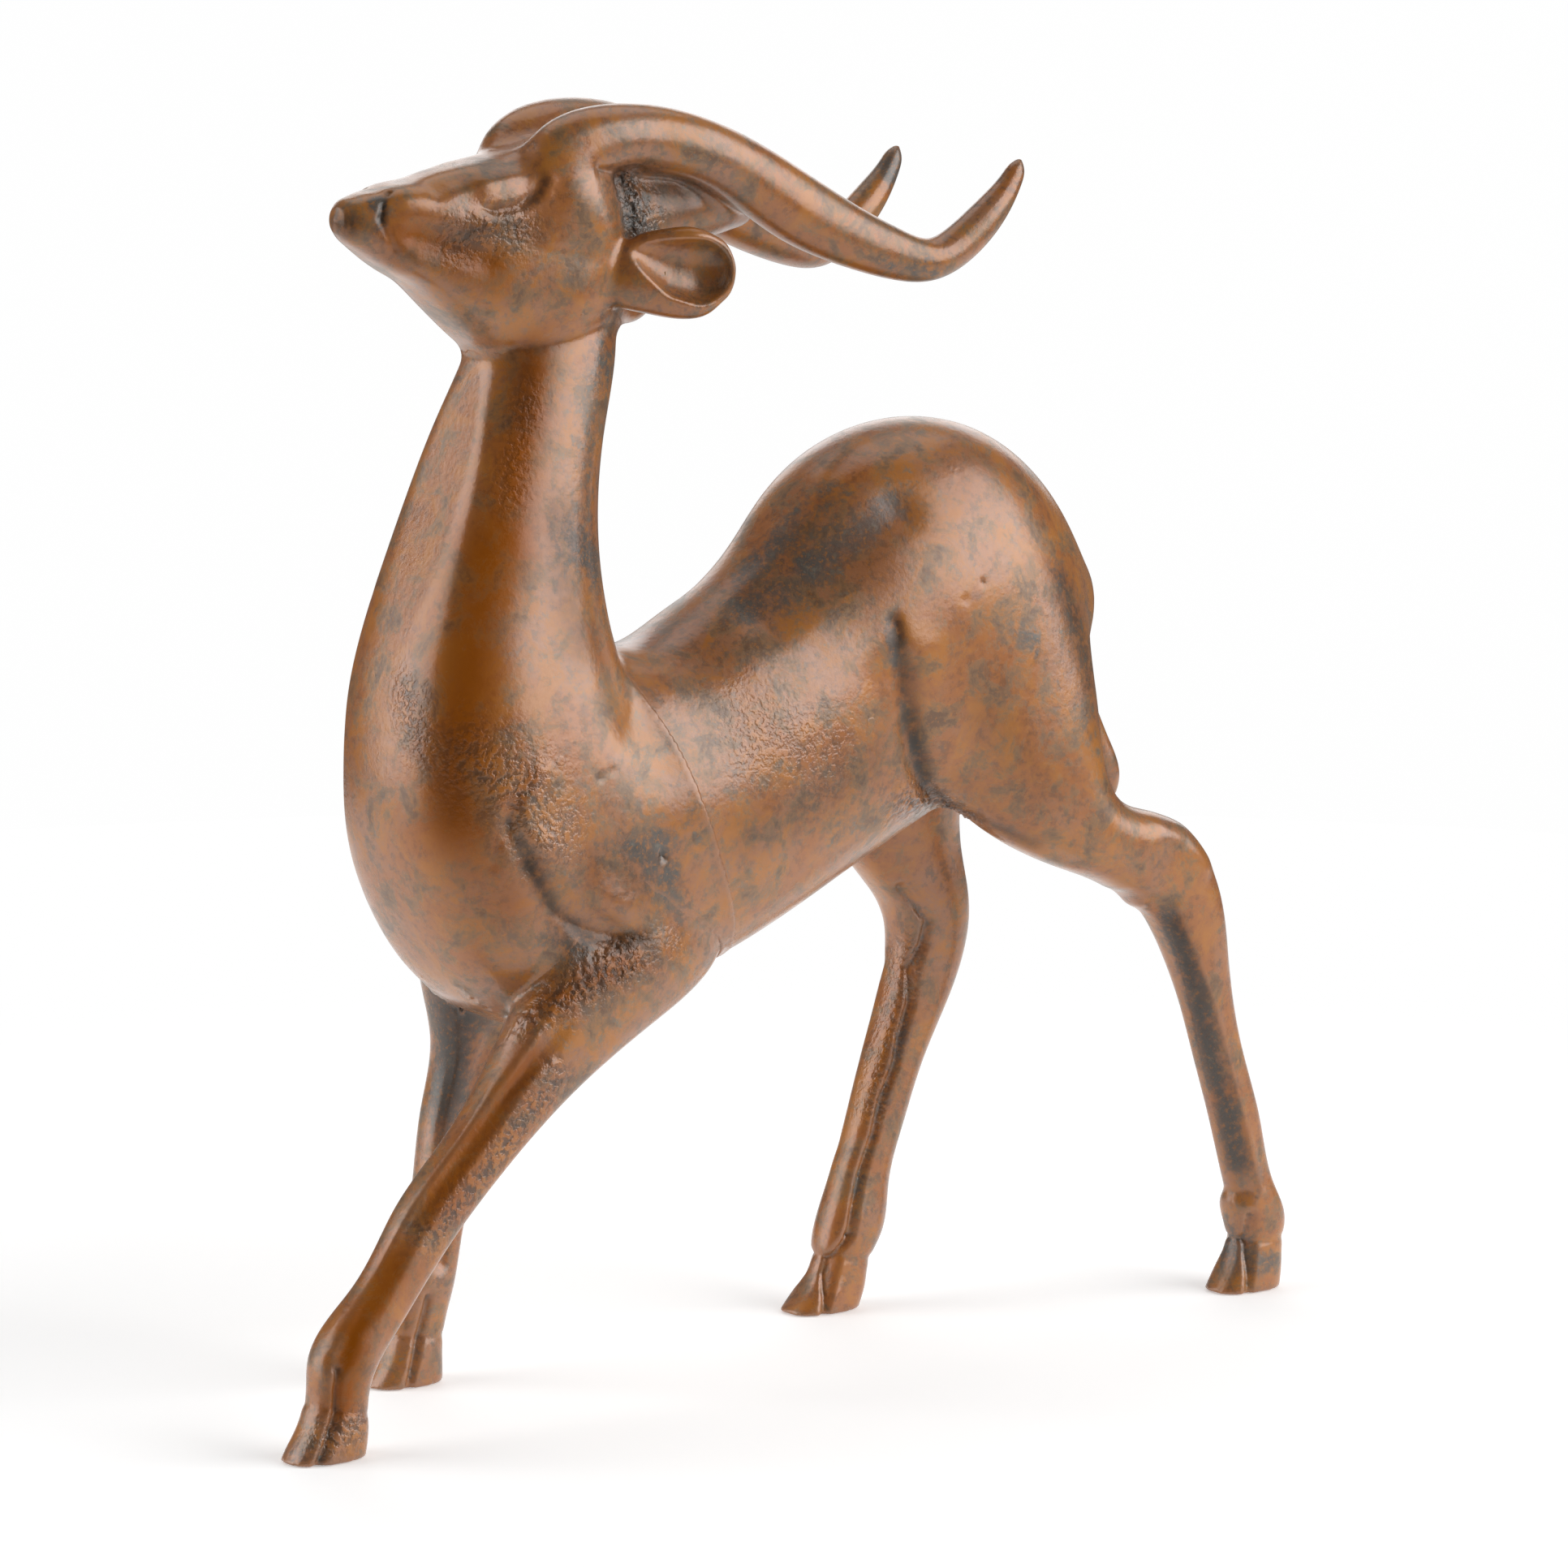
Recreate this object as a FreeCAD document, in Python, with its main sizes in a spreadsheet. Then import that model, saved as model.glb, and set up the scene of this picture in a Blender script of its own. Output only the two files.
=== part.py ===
import FreeCAD, Part
import os

# Bronze antelope statuette, millimetres.  The animal faces -X, its left side is -Y and +Z is up.
# The origin is the middle of the footprint, on the plane that the four hooves stand on.
#
# Every casting is a loft through upright elliptical sections.  A section is written as
# (x, y, z, lean, deep, wide): its centre, the angle of its long axis above +X in the XZ plane,
# half its length along that axis and half its width along Y.

PARTS_FOLDER = "parts"

WALL = 4.0            # thickness of the hollow castings
FIT_GAP = 0.2         # clearance between a spigot and the casting that it slides into
SPIGOT_WALL = 2.4
LEG_PIN_RADIUS = 2.5
HORN_PIN_RADIUS = 2.5
EAR_PIN_RADIUS = 1.2
TAIL_PIN_RADIUS = 1.2
PLUG_RADIUS = 1.6     # plugs in the holes that the core pins left
PATCH_RADIUS = 9.0    # plate over the window through which the core was broken out
CLEFT_WIDTH = 1.2     # slot between the two toes of a hoof
CLEFT_DEPTH = 4.5
CLEFT_HEIGHT = 9.0
CLEFT_MARGIN = 1.0       # the cutter starts this far in front of the hoof

NECK = [
    (-59.5, 0, 267.5, 0, 17, 13),
    (-62, 0, 251.5, 0, 19.8, 14),
    (-67.5, 0, 235.5, 0, 22, 16.5),
    (-75.3, 0, 204.5, 0, 27, 21.5),
    (-78, 0, 172.5, 0, 34.3, 27.5),
    (-76, 0, 154.5, 0, 37, 30),
    (-74.5, 0, 137.5, 0, 38, 30.5),
    (-72.5, 0, 121.5, 0, 36, 29),
    (-69, 0, 107.5, 0, 30.5, 25),
    (-68, 0, 97.5, 0, 23, 18.5),
    (-67, 0, 91.5, 0, 13, 10.5),
]

BARREL = [
    (-50, 0, 138, 92, 40, 28),
    (-33, 0, 138.5, 97, 41.5, 30.5),
    (0.7, 0, 151.2, 114, 40.3, 30),
    (24.5, 0, 164.9, 120, 43, 30),
    (46.8, 0, 178.9, 117, 48.5, 32),
    (69, 0, 181, 97, 46.3, 31),
    (82, 0, 176.5, 82, 36.4, 26),
    (92, 0, 171, 66, 23.6, 19),
    (98, 0, 168, 60, 8, 8),
]

HEAD = [
    (-119.8, 0, 288.3, 90, 4, 4),
    (-116, 0, 286.8, 90, 7, 7),
    (-108, 0, 284.2, 90, 9.8, 8.5),
    (-98, 0, 280.8, 90, 14, 10.5),
    (-88, 0, 278, 90, 18.3, 12.5),
    (-76, 0, 277.3, 90, 22.5, 14.5),
    (-64, 0, 278, 90, 24.5, 16),
    (-54, 0, 279, 90, 22.5, 15.5),
    (-45, 0, 277, 90, 19, 13.5),
    (-37, 0, 274, 90, 15.5, 11),
    (-31, 0, 273, 90, 10.5, 8),
    (-28, 0, 272.5, 90, 5, 4),
]

LEGS = {
    "hind_leg_left": [
        (56, -14, 184, 20, 32, 16),
        (63.5, -19, 161.3, 30, 28.4, 13.5),
        (74.8, -22, 141.2, 40, 22, 12),
        (89.8, -23.5, 125.9, 46, 13.3, 10.5),
        (107.9, -24, 116, 38, 12.3, 9.5),
        (117.4, -24, 105.2, 12, 12.6, 8.5),
        (124.6, -24, 88, 0, 9.4, 7),
        (131.5, -24, 64, 0, 7.8, 5.8),
        (138, -24, 44, 0, 7.8, 5.8),
        (142.9, -24, 27, 0, 8, 6.5),
        (146.4, -24, 12.5, 0, 8.8, 7.5),
        (145, -24, 5.5, 0, 8.8, 7.2),
        (142.4, -24, 0, 0, 10, 7),
    ],
    "hind_leg_right": [
        (57, 14, 186, 10, 32, 16),
        (61, 20, 158, 15, 27, 14),
        (64, 22.5, 136, 10, 21.5, 12),
        (68.5, 24, 117, 0, 17.6, 10),
        (77, 24, 98, 0, 11.4, 8.5),
        (75.2, 24, 84, 0, 10.2, 7.5),
        (65.6, 24, 62, 0, 8.3, 6.5),
        (59.4, 24, 46, 0, 7.8, 5.8),
        (54.4, 24, 31, 0, 8, 6),
        (49.6, 24, 14.5, 0, 8.5, 6.6),
        (46.2, 24, 6.5, 0, 8.6, 7),
        (42, 24, 0, 0, 10.4, 7),
    ],
    "foreleg_left": [
        (-44, -18.5, 121, -38, 27, 13.5),
        (-60.4, -21, 105.9, -43, 19.9, 11.5),
        (-82.4, -24, 87.4, -46, 11.5, 8.5),
        (-100, -25, 69.2, -44, 8.1, 6.5),
        (-116.4, -25, 52.3, -40, 7.8, 6),
        (-130.1, -25, 34.7, -36, 7.2, 6),
        (-140.3, -25, 21.3, -14, 8.1, 6.8),
        (-141, -25, 12.5, -5, 8, 6.5),
        (-142.5, -25, 5.5, 0, 8.8, 7),
        (-145.2, -25, 0, 0, 10.4, 7),
    ],
    "foreleg_right": [
        (-67, 18, 124, 0, 20, 12),
        (-66.8, 19.5, 110, 0, 17, 11.5),
        (-66.6, 21.5, 97, 0, 13.5, 10),
        (-66.8, 23, 84, 0, 10.2, 7.8),
        (-71, 25, 66, 0, 7.8, 6.5),
        (-74, 25, 50, 0, 7.4, 6),
        (-77.5, 25, 36, 0, 7.2, 6),
        (-81, 25, 24, 0, 7.4, 6.2),
        (-83.3, 25, 12.5, 0, 8.3, 7),
        (-85, 25, 5.5, 0, 8.2, 7),
        (-87, 25, 0, 0, 10.2, 7),
    ],
}

# Horns and ears are written for the left side, and mirrored for the right.
HORN = [
    (-61, -8.5, 288, 172, 13, 8),
    (-60, -9.5, 300, 152, 12.5, 8),
    (-50, -11, 306, 115, 9.5, 7.8),
    (-39, -12, 305.8, 93, 8.7, 7.5),
    (-28, -13.5, 303.4, 73, 8.3, 7.3),
    (-16.5, -15, 298.5, 64, 7.9, 7),
    (1.2, -17, 287.5, 63, 8.2, 6.8),
    (20.8, -19.5, 277.6, 67, 6.7, 6),
    (30, -20.5, 273.8, 77, 6, 5.5),
    (40, -21, 272.4, 93, 5.2, 5),
    (51.5, -21.5, 276.3, 118, 4.9, 4.5),
    (61.5, -21.5, 284, 137, 3.9, 3.8),
    (66.8, -21.5, 290, 146, 2.8, 2.6),
    (68.8, -21.5, 294, 150, 1.3, 1.3),
]

EAR = [
    (-50, -13, 272, 80, 7, 5),
    (-43, -17, 271.8, 84, 8.8, 4.5),
    (-34, -21.5, 271.8, 90, 10.3, 4.5),
    (-27.5, -24, 272.5, 95, 9.5, 4),
    (-23.5, -25, 274, 95, 6, 3),
]

TAIL = [
    (98, 0, 168, 30, 6, 5),
    (108, 0, 156, 12, 4.8, 4),
    (114.5, 0, 142, 8, 4, 3),
    (119, 0, 129, 0, 2.5, 2),
]

# A pin runs from its first point, inside the piece that it carries, to its second.
LEG_PINS = {
    "hind_leg_left": ((88, -23, 122), (75, -18, 144)),
    "hind_leg_right": ((70, 23, 112), (67, 18, 136)),
    "foreleg_left": ((-74, -23, 91), (-60, -17, 110)),
    "foreleg_right": ((-66.8, 22, 86), (-67, 16.5, 108)),
}
HORN_PIN = ((-57, -10, 306), (-60, -8, 284))
EAR_CUP_AT = (-32, -28.5, 273)
EAR_CUP_RADII = (7.5, 8.5, 6)       # along Z, X and Y
EAR_PIN = ((-38, -18, 272), (-50, -10, 272))
TAIL_PIN = ((109, 0, 153), (98, 0, 163))

# Core-pin plugs go through a wall along Y: (shell, x, z, side that they are on).
PLUGS = {
    "core_plug_chest_left": ("chest", -78, 160, -1),
    "core_plug_chest_right": ("chest", -78, 160, 1),
    "core_plug_flank_left": ("flank", 16, 160, -1),
    "core_plug_flank_right": ("flank", 16, 160, 1),
}
PATCH_AT = (-4, 0, 100)
PLUG_DRILL_REACH = 50
PATCH_DRILL_REACH = 30

# Boxes that hold the joints the spigots line, as two opposite corners
NECK_WINDOW = ((-100, -30, 234), (-30, 30, 265))
WAIST_WINDOW = ((-60, -40, 90), (-14, 40, 190))

document = FreeCAD.newDocument("AntelopeStatuette")
sheet = document.addObject("Spreadsheet::Sheet", "Sizes")
sheet_row = 0


def size(alias, value):
    """Keep one driving dimension in the sheet and give back the name that expressions use."""
    global sheet_row
    sheet_row += 1
    sheet.set("A%d" % sheet_row, alias)
    sheet.set("B%d" % sheet_row, "%g" % value)
    sheet.setAlias("B%d" % sheet_row, alias)
    return "Sizes." + alias


def add(kind, name, label=None):
    made = document.addObject(kind, name)
    made.Label = label or name
    return made


def keep_sections(name, sections):
    """Write a loft's sections into the sheet, and give back the names of their cells."""
    fields = ("fore", "side", "high", "lean", "deep", "wide")
    return [
        {field: size("%s_%d_%s" % (name, number, field), value)
         for field, value in zip(fields, section)}
        for number, section in enumerate(sections)
    ]


def loft(name, cells, shrink="0"):
    """A solid through elliptical sections, each drawn in by shrink."""
    rings = []
    for number, cell in enumerate(cells):
        ring = add("Part::Ellipse", "%s_ring_%d" % (name, number))
        ring.Placement.Rotation = FreeCAD.Rotation(FreeCAD.Vector(0, 1, 0), 1)
        ring.setExpression("MajorRadius", "%s - %s" % (cell["deep"], shrink))
        ring.setExpression("MinorRadius", "%s - %s" % (cell["wide"], shrink))
        ring.setExpression("Placement.Base.x", cell["fore"])
        ring.setExpression("Placement.Base.y", cell["side"])
        ring.setExpression("Placement.Base.z", cell["high"])
        ring.setExpression("Placement.Rotation.Angle", "-%s" % cell["lean"])
        rings.append(ring)
    solid = add("Part::Loft", name)
    solid.Sections = rings
    solid.Solid = True
    solid.Ruled = False
    return solid


def pin(name, ends, radius):
    """A round pin between two points."""
    start, end = [FreeCAD.Vector(*point) for point in ends]
    along = end - start
    made = add("Part::Cylinder", name)
    made.Placement = FreeCAD.Placement(start, FreeCAD.Rotation(FreeCAD.Vector(0, 0, 1), along))
    made.setExpression("Radius", radius)
    made.setExpression("Height", size(name + "_long", along.Length))
    return made


def cut(name, base, *tools):
    """The base less every tool."""
    result = base
    for number, tool in enumerate(tools):
        is_last = number == len(tools) - 1
        step = add("Part::Cut", name if is_last else "%s_less_%d" % (name, number))
        step.Base = result
        step.Tool = tool
        result = step
    return result


def common(name, first, second):
    shared = add("Part::Common", name)
    shared.Base = first
    shared.Tool = second
    return shared


def slab(name, low, high):
    """A box that picks out part of the figure."""
    made = add("Part::Box", name)
    made.Placement.Base = FreeCAD.Vector(*low)
    made.Length, made.Width, made.Height = [b - a for a, b in zip(low, high)]
    return made


wall = size("wall", WALL)
spigot_outside = "(%s + %s)" % (wall, size("fit_gap", FIT_GAP))
spigot_inside = "(%s + %s)" % (spigot_outside, size("spigot_wall", SPIGOT_WALL))
leg_pin_radius = size("leg_pin_radius", LEG_PIN_RADIUS)
horn_pin_radius = size("horn_pin_radius", HORN_PIN_RADIUS)
ear_pin_radius = size("ear_pin_radius", EAR_PIN_RADIUS)
tail_pin_radius = size("tail_pin_radius", TAIL_PIN_RADIUS)
plug_radius = size("plug_radius", PLUG_RADIUS)
patch_radius = size("patch_radius", PATCH_RADIUS)
cleft_width = size("cleft_width", CLEFT_WIDTH)
cleft_height = size("cleft_height", CLEFT_HEIGHT)

parts = []      # every object that is written out, in order


def spigot(name, cells, window):
    """A tube that lines the joint between two hollow castings, inside the first one's wall."""
    outside = loft(name + "_outside", cells, shrink=spigot_outside)
    inside = loft(name + "_inside", cells, shrink=spigot_inside)
    window_box = slab(name + "_window", *window)
    bore = common(name + "_bore", outside, window_box)
    return cut(name, bore, inside), bore


# Outer shapes and cavities
neck_cells = keep_sections("neck", NECK)
barrel_cells = keep_sections("barrel", BARREL)
head_cells = keep_sections("head", HEAD)
neck_outer = loft("neck_outer", neck_cells)
neck_core = loft("neck_core", neck_cells[:-1], shrink=wall)
barrel_outer = loft("barrel_outer", barrel_cells)
barrel_core = loft("barrel_core", barrel_cells[:4] + barrel_cells[5:-1], shrink=wall)
head_outer = loft("head_outer", head_cells)
head_core = loft("head_core", head_cells[3:-2], shrink=wall)

# Spigots
neck_spigot, neck_bore = spigot("neck_spigot", neck_cells, NECK_WINDOW)
waist_spigot, waist_bore = spigot("waist_spigot", barrel_cells, WAIST_WINDOW)
parts += [neck_spigot, waist_spigot]


def hoof_cleft(name, sole):
    """The slot between the two toes, open to the front and to the ground."""
    fore, side, deep = sole[0], sole[1], sole[4]
    made = add("Part::Box", name)
    made.Length = CLEFT_MARGIN + CLEFT_DEPTH
    made.setExpression("Width", cleft_width)
    made.setExpression("Height", cleft_height)
    made.Placement.Base.x = fore - deep - CLEFT_MARGIN
    made.setExpression("Placement.Base.y", "%g - %s / 2" % (side, cleft_width))
    return made


leg_pins = []
for leg_name, sections in LEGS.items():
    leg_pin = pin(leg_name + "_pin", LEG_PINS[leg_name], leg_pin_radius)
    leg_shape = loft(leg_name + "_shape", keep_sections(leg_name, sections))
    cleft = hoof_cleft(leg_name + "_cleft", sections[-1])
    parts.append(cut(leg_name, leg_shape, neck_outer, barrel_outer, leg_pin, cleft))
    leg_pins.append(leg_pin)
parts += leg_pins


def mirrored(name, source):
    """The same piece on the animal's right side."""
    made = add("Part::Mirroring", name)
    made.Source = source
    made.Base = FreeCAD.Vector(0, 0, 0)
    made.Normal = FreeCAD.Vector(0, 1, 0)
    return made


horn_pin = pin("horn_pin_left", HORN_PIN, horn_pin_radius)
horn_shape = loft("horn_shape", keep_sections("horn", HORN))
horn = cut("horn_left", horn_shape, head_outer, horn_pin)

ear_pin = pin("ear_pin_left", EAR_PIN, ear_pin_radius)
ear_shape = loft("ear_shape", keep_sections("ear", EAR))
ear_cup = add("Part::Ellipsoid", "ear_cup")
ear_cup.Radius1, ear_cup.Radius2, ear_cup.Radius3 = EAR_CUP_RADII
ear_cup.Placement.Base = FreeCAD.Vector(*EAR_CUP_AT)
ear = cut("ear_left", ear_shape, head_outer, ear_cup, ear_pin)

head_pins = [horn_pin, ear_pin]
head_pins += [mirrored(left.Label.replace("left", "right"), left) for left in head_pins]
parts += [horn, mirrored("horn_right", horn), ear, mirrored("ear_right", ear)] + head_pins

tail_pin = pin("tail_pin", TAIL_PIN, tail_pin_radius)
tail_shape = loft("tail_shape", keep_sections("tail", TAIL))
parts += [cut("tail", tail_shape, barrel_outer, tail_pin), tail_pin]

# Hollow castings, with the plugs and the plate that close their holes
barrel_shell = cut("barrel_shell", barrel_outer, barrel_core, neck_outer)
chest_shell = cut("chest_shell", neck_outer, neck_core, head_outer)
shells = {"chest": chest_shell, "flank": barrel_shell}
holes = {"chest": [], "flank": []}
for plug_name, (place, fore, high, side) in PLUGS.items():
    drill = add("Part::Cylinder", plug_name + "_drill")
    drill.Placement = FreeCAD.Placement(
        FreeCAD.Vector(fore, 0, high),
        FreeCAD.Rotation(FreeCAD.Vector(0, 0, 1), FreeCAD.Vector(0, side, 0)),
    )
    drill.setExpression("Radius", plug_radius)
    drill.Height = PLUG_DRILL_REACH
    parts.append(common(plug_name, drill, shells[place]))
    holes[place].append(drill)

patch_drill = add("Part::Cylinder", "core_patch_drill")
patch_drill.Placement.Base = FreeCAD.Vector(*PATCH_AT)
patch_drill.setExpression("Radius", patch_radius)
patch_drill.Height = PATCH_DRILL_REACH
parts.append(common("core_patch", patch_drill, barrel_shell))
holes["flank"].append(patch_drill)

parts.append(cut("barrel", barrel_shell, *holes["flank"], *leg_pins[:2], tail_pin))
parts.append(cut("neck_and_chest", chest_shell, waist_bore, *holes["chest"], *leg_pins[2:]))
parts.append(cut("head", head_outer, head_core, neck_bore, *head_pins))

document.recompute()
for item in document.Objects:
    if "Invalid" in item.State or "Error" in item.State:
        raise RuntimeError("%s failed: %s" % (item.Label, item.State))
for item in parts:
    if item.Shape.isNull() or not item.Shape.isValid():
        raise RuntimeError("%s has no valid shape" % item.Label)
    print("%-24s solids %d volume %9.1f" % (item.Label, len(item.Shape.Solids), item.Shape.Volume))

os.makedirs(PARTS_FOLDER, exist_ok=True)
for item in parts:
    item.Shape.exportStep(os.path.join(PARTS_FOLDER, item.Label + ".step"))
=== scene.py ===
"""A bronze antelope statuette.  The castings are sculpted as distance fields in millimetres:
lofted forms are melted together, lines are pressed into or raised on their surface, and each
casting is then meshed on its own."""

import math

import bmesh
import bpy
import numpy as np
import openvdb
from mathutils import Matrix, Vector


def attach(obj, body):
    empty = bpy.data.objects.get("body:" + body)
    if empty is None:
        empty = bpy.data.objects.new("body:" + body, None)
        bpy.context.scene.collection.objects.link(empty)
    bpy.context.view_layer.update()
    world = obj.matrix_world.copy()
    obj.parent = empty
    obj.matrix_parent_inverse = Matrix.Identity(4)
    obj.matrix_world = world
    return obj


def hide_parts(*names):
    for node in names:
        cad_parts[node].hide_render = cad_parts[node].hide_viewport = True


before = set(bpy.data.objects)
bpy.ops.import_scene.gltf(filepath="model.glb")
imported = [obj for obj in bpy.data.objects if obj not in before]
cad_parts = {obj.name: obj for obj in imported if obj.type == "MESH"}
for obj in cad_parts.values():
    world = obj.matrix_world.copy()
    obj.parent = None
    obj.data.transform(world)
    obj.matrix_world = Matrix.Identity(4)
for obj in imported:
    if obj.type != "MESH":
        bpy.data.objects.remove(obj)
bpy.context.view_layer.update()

MM = 0.001
COARSEN = 1.0
PITCH_BODY = 0.76 * COARSEN
PITCH_LEG = 0.55 * COARSEN
PITCH_HEAD = 0.42 * COARSEN
PITCH_FINE = 0.36 * COARSEN
BAND = 7.5              # how far from a form's surface its fine distances reach
DEEP_PITCH = 2.0        # the coarse distances that share the inside out between castings
DEEP_BAND = 40.0
OVERLAP = 0.7           # how far a casting runs on under its neighbour
SINK = 0.12             # how far it dips there
RING_POINTS = 200
REACH = 2.3             # a line is felt this many radii away
PIT_DEPTH = 1.1

# Widths of the fillets, none over BAND.  A pair is (heights, widths at them).
NECK_EDGE = ([165, 200, 240], [7.0, 3.6, 1.0])
WITHERS_FILLET = ([150, 185], [7.3, 3.5])
SHOULDER_FILLET = ([108, 124], [2.6, 7.3])
THIGH_FILLET = 6.5
TAIL_FILLET = 2.5
POLL_FILLET = 4.0
HORN_FILLET = 4.5
HEAD_FILLET = 4.5
EAR_RIM = 1.2
EAR_FILLET = 2.2

# ---------------------------------------------------------------- forms
# A station is (x, y, z, lean, deep, wide, power): centre, angle of the long axis above +X,
# half sizes along that axis and along Y, and the power of the superellipse.

NECK = [
    (-59.5, 0, 272, 0, 15, 12, 2),
    (-60, 0, 262, 0, 17.6, 13, 2.1),
    (-62.5, 0, 251.5, 0, 19.7, 14.2, 2.2),
    (-68.6, 0, 235.5, 0, 21.6, 16.8, 2.3),
    (-76.9, 0, 204.5, 0, 26.8, 21.8, 2.3),
    (-78.4, 0, 172.5, 0, 34.6, 27.8, 2.3),
    (-76, 0, 154.5, 0, 37.6, 30, 2.3),
    (-74.5, 0, 137.5, 0, 38, 30.5, 2.3),
    (-72.5, 0, 121.5, 0, 36, 29, 2.2),
    (-69, 0, 107.5, 0, 31, 25.5, 2.2),
    (-68, 0, 98.5, 0, 25, 20, 2.1),
    (-67, 0, 92.5, 0, 15, 12.5, 2),
    (-66.5, 0, 90, 0, 5, 4, 2),
]
# The flat plane down the front of the neck and breast: (z, x)
BREAST = [(272, -74), (256, -79.6), (240, -85.5), (224, -91.4), (204, -99.4), (190, -104.6),
          (177, -108.5), (160, -111.2), (145, -111.2), (130, -107.4), (113, -99.5),
          (104, -93.6), (97, -86), (90, -76)]

BARREL = [
    (-66, 0, 138, 92, 26, 19, 2),
    (-58, 0, 138, 92, 34, 25.5, 2),
    (-50, 0, 138.2, 92, 40.4, 29.2, 2),
    (-33, 0, 139.3, 97, 41.8, 30.5, 2.1),
    (0.7, 0, 152.2, 114, 40.5, 30, 2.2),
    (24.5, 0, 165.6, 120, 43.2, 30, 2.2),
    (46.8, 0, 179.4, 117, 49, 32, 2.1),
    (69, 0, 181.5, 97, 46.6, 31, 2.1),
    (81.6, 0, 177, 82, 36.8, 26.8, 2),
    (91, 0, 171.5, 66, 24.2, 20.4, 2),
    (95.8, 0, 168.5, 60, 12.6, 11, 2),
    (97.4, 0, 168, 60, 3, 3, 2),
]

HEAD = [
    (-121.5, 0, 288.3, 90, 0.3, 0.3, 2),
    (-121.2, 0, 288.3, 90, 1.8, 1.8, 2),
    (-120.4, 0, 288.3, 90, 3.3, 3.4, 2.1),
    (-119, 0, 288.2, 90, 4.6, 4.8, 2.3),
    (-116.9, 0, 287.8, 90, 5.8, 6.1, 2.5),
    (-114.1, 0, 287.2, 90, 7.1, 7.2, 2.8),
    (-110.5, 0, 286.3, 90, 8.6, 8.3, 3.1),
    (-105.5, 0, 285.4, 90, 10.6, 9.5, 3.4),
    (-100, 0, 284.3, 90, 12.6, 10.4, 3.4),
    (-94, 0, 282.3, 90, 16, 11.4, 3.2),
    (-86, 0, 279.4, 90, 20.4, 12.7, 3),
    (-78, 0, 277.3, 90, 24, 14, 2.7),
    (-70, 0, 277.6, 90, 25.4, 15.3, 2.5),
    (-62, 0, 278.8, 90, 25.2, 16.2, 2.4),
    (-54, 0, 279.2, 90, 23.5, 15.8, 2.3),
    (-46, 0, 277.5, 90, 19.8, 13.6, 2.2),
    (-38, 0, 274.6, 90, 16, 10.8, 2.1),
    (-31, 0, 273, 90, 10.5, 7.6, 2),
    (-28, 0, 272.5, 90, 4, 3, 2),
]

POLL = [
    (-58, 0, 288, 90, 6, 6, 2),
    (-50, 0, 288, 90, 12, 10, 2),
    (-41, 0, 286.5, 90, 13.5, 11.5, 2),
    (-32, 0, 286, 90, 12.5, 11, 2),
    (-22, 0, 286.5, 90, 10.5, 10.5, 2),
    (-12, 0, 286.5, 90, 8.5, 9.5, 2),
    (-5, 0, 285, 90, 5.5, 7, 2),
    (0, 0, 284.4, 90, 2.8, 3.6, 2),
    (1.5, 0, 284.2, 90, 1, 1.4, 2),
]

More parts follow.
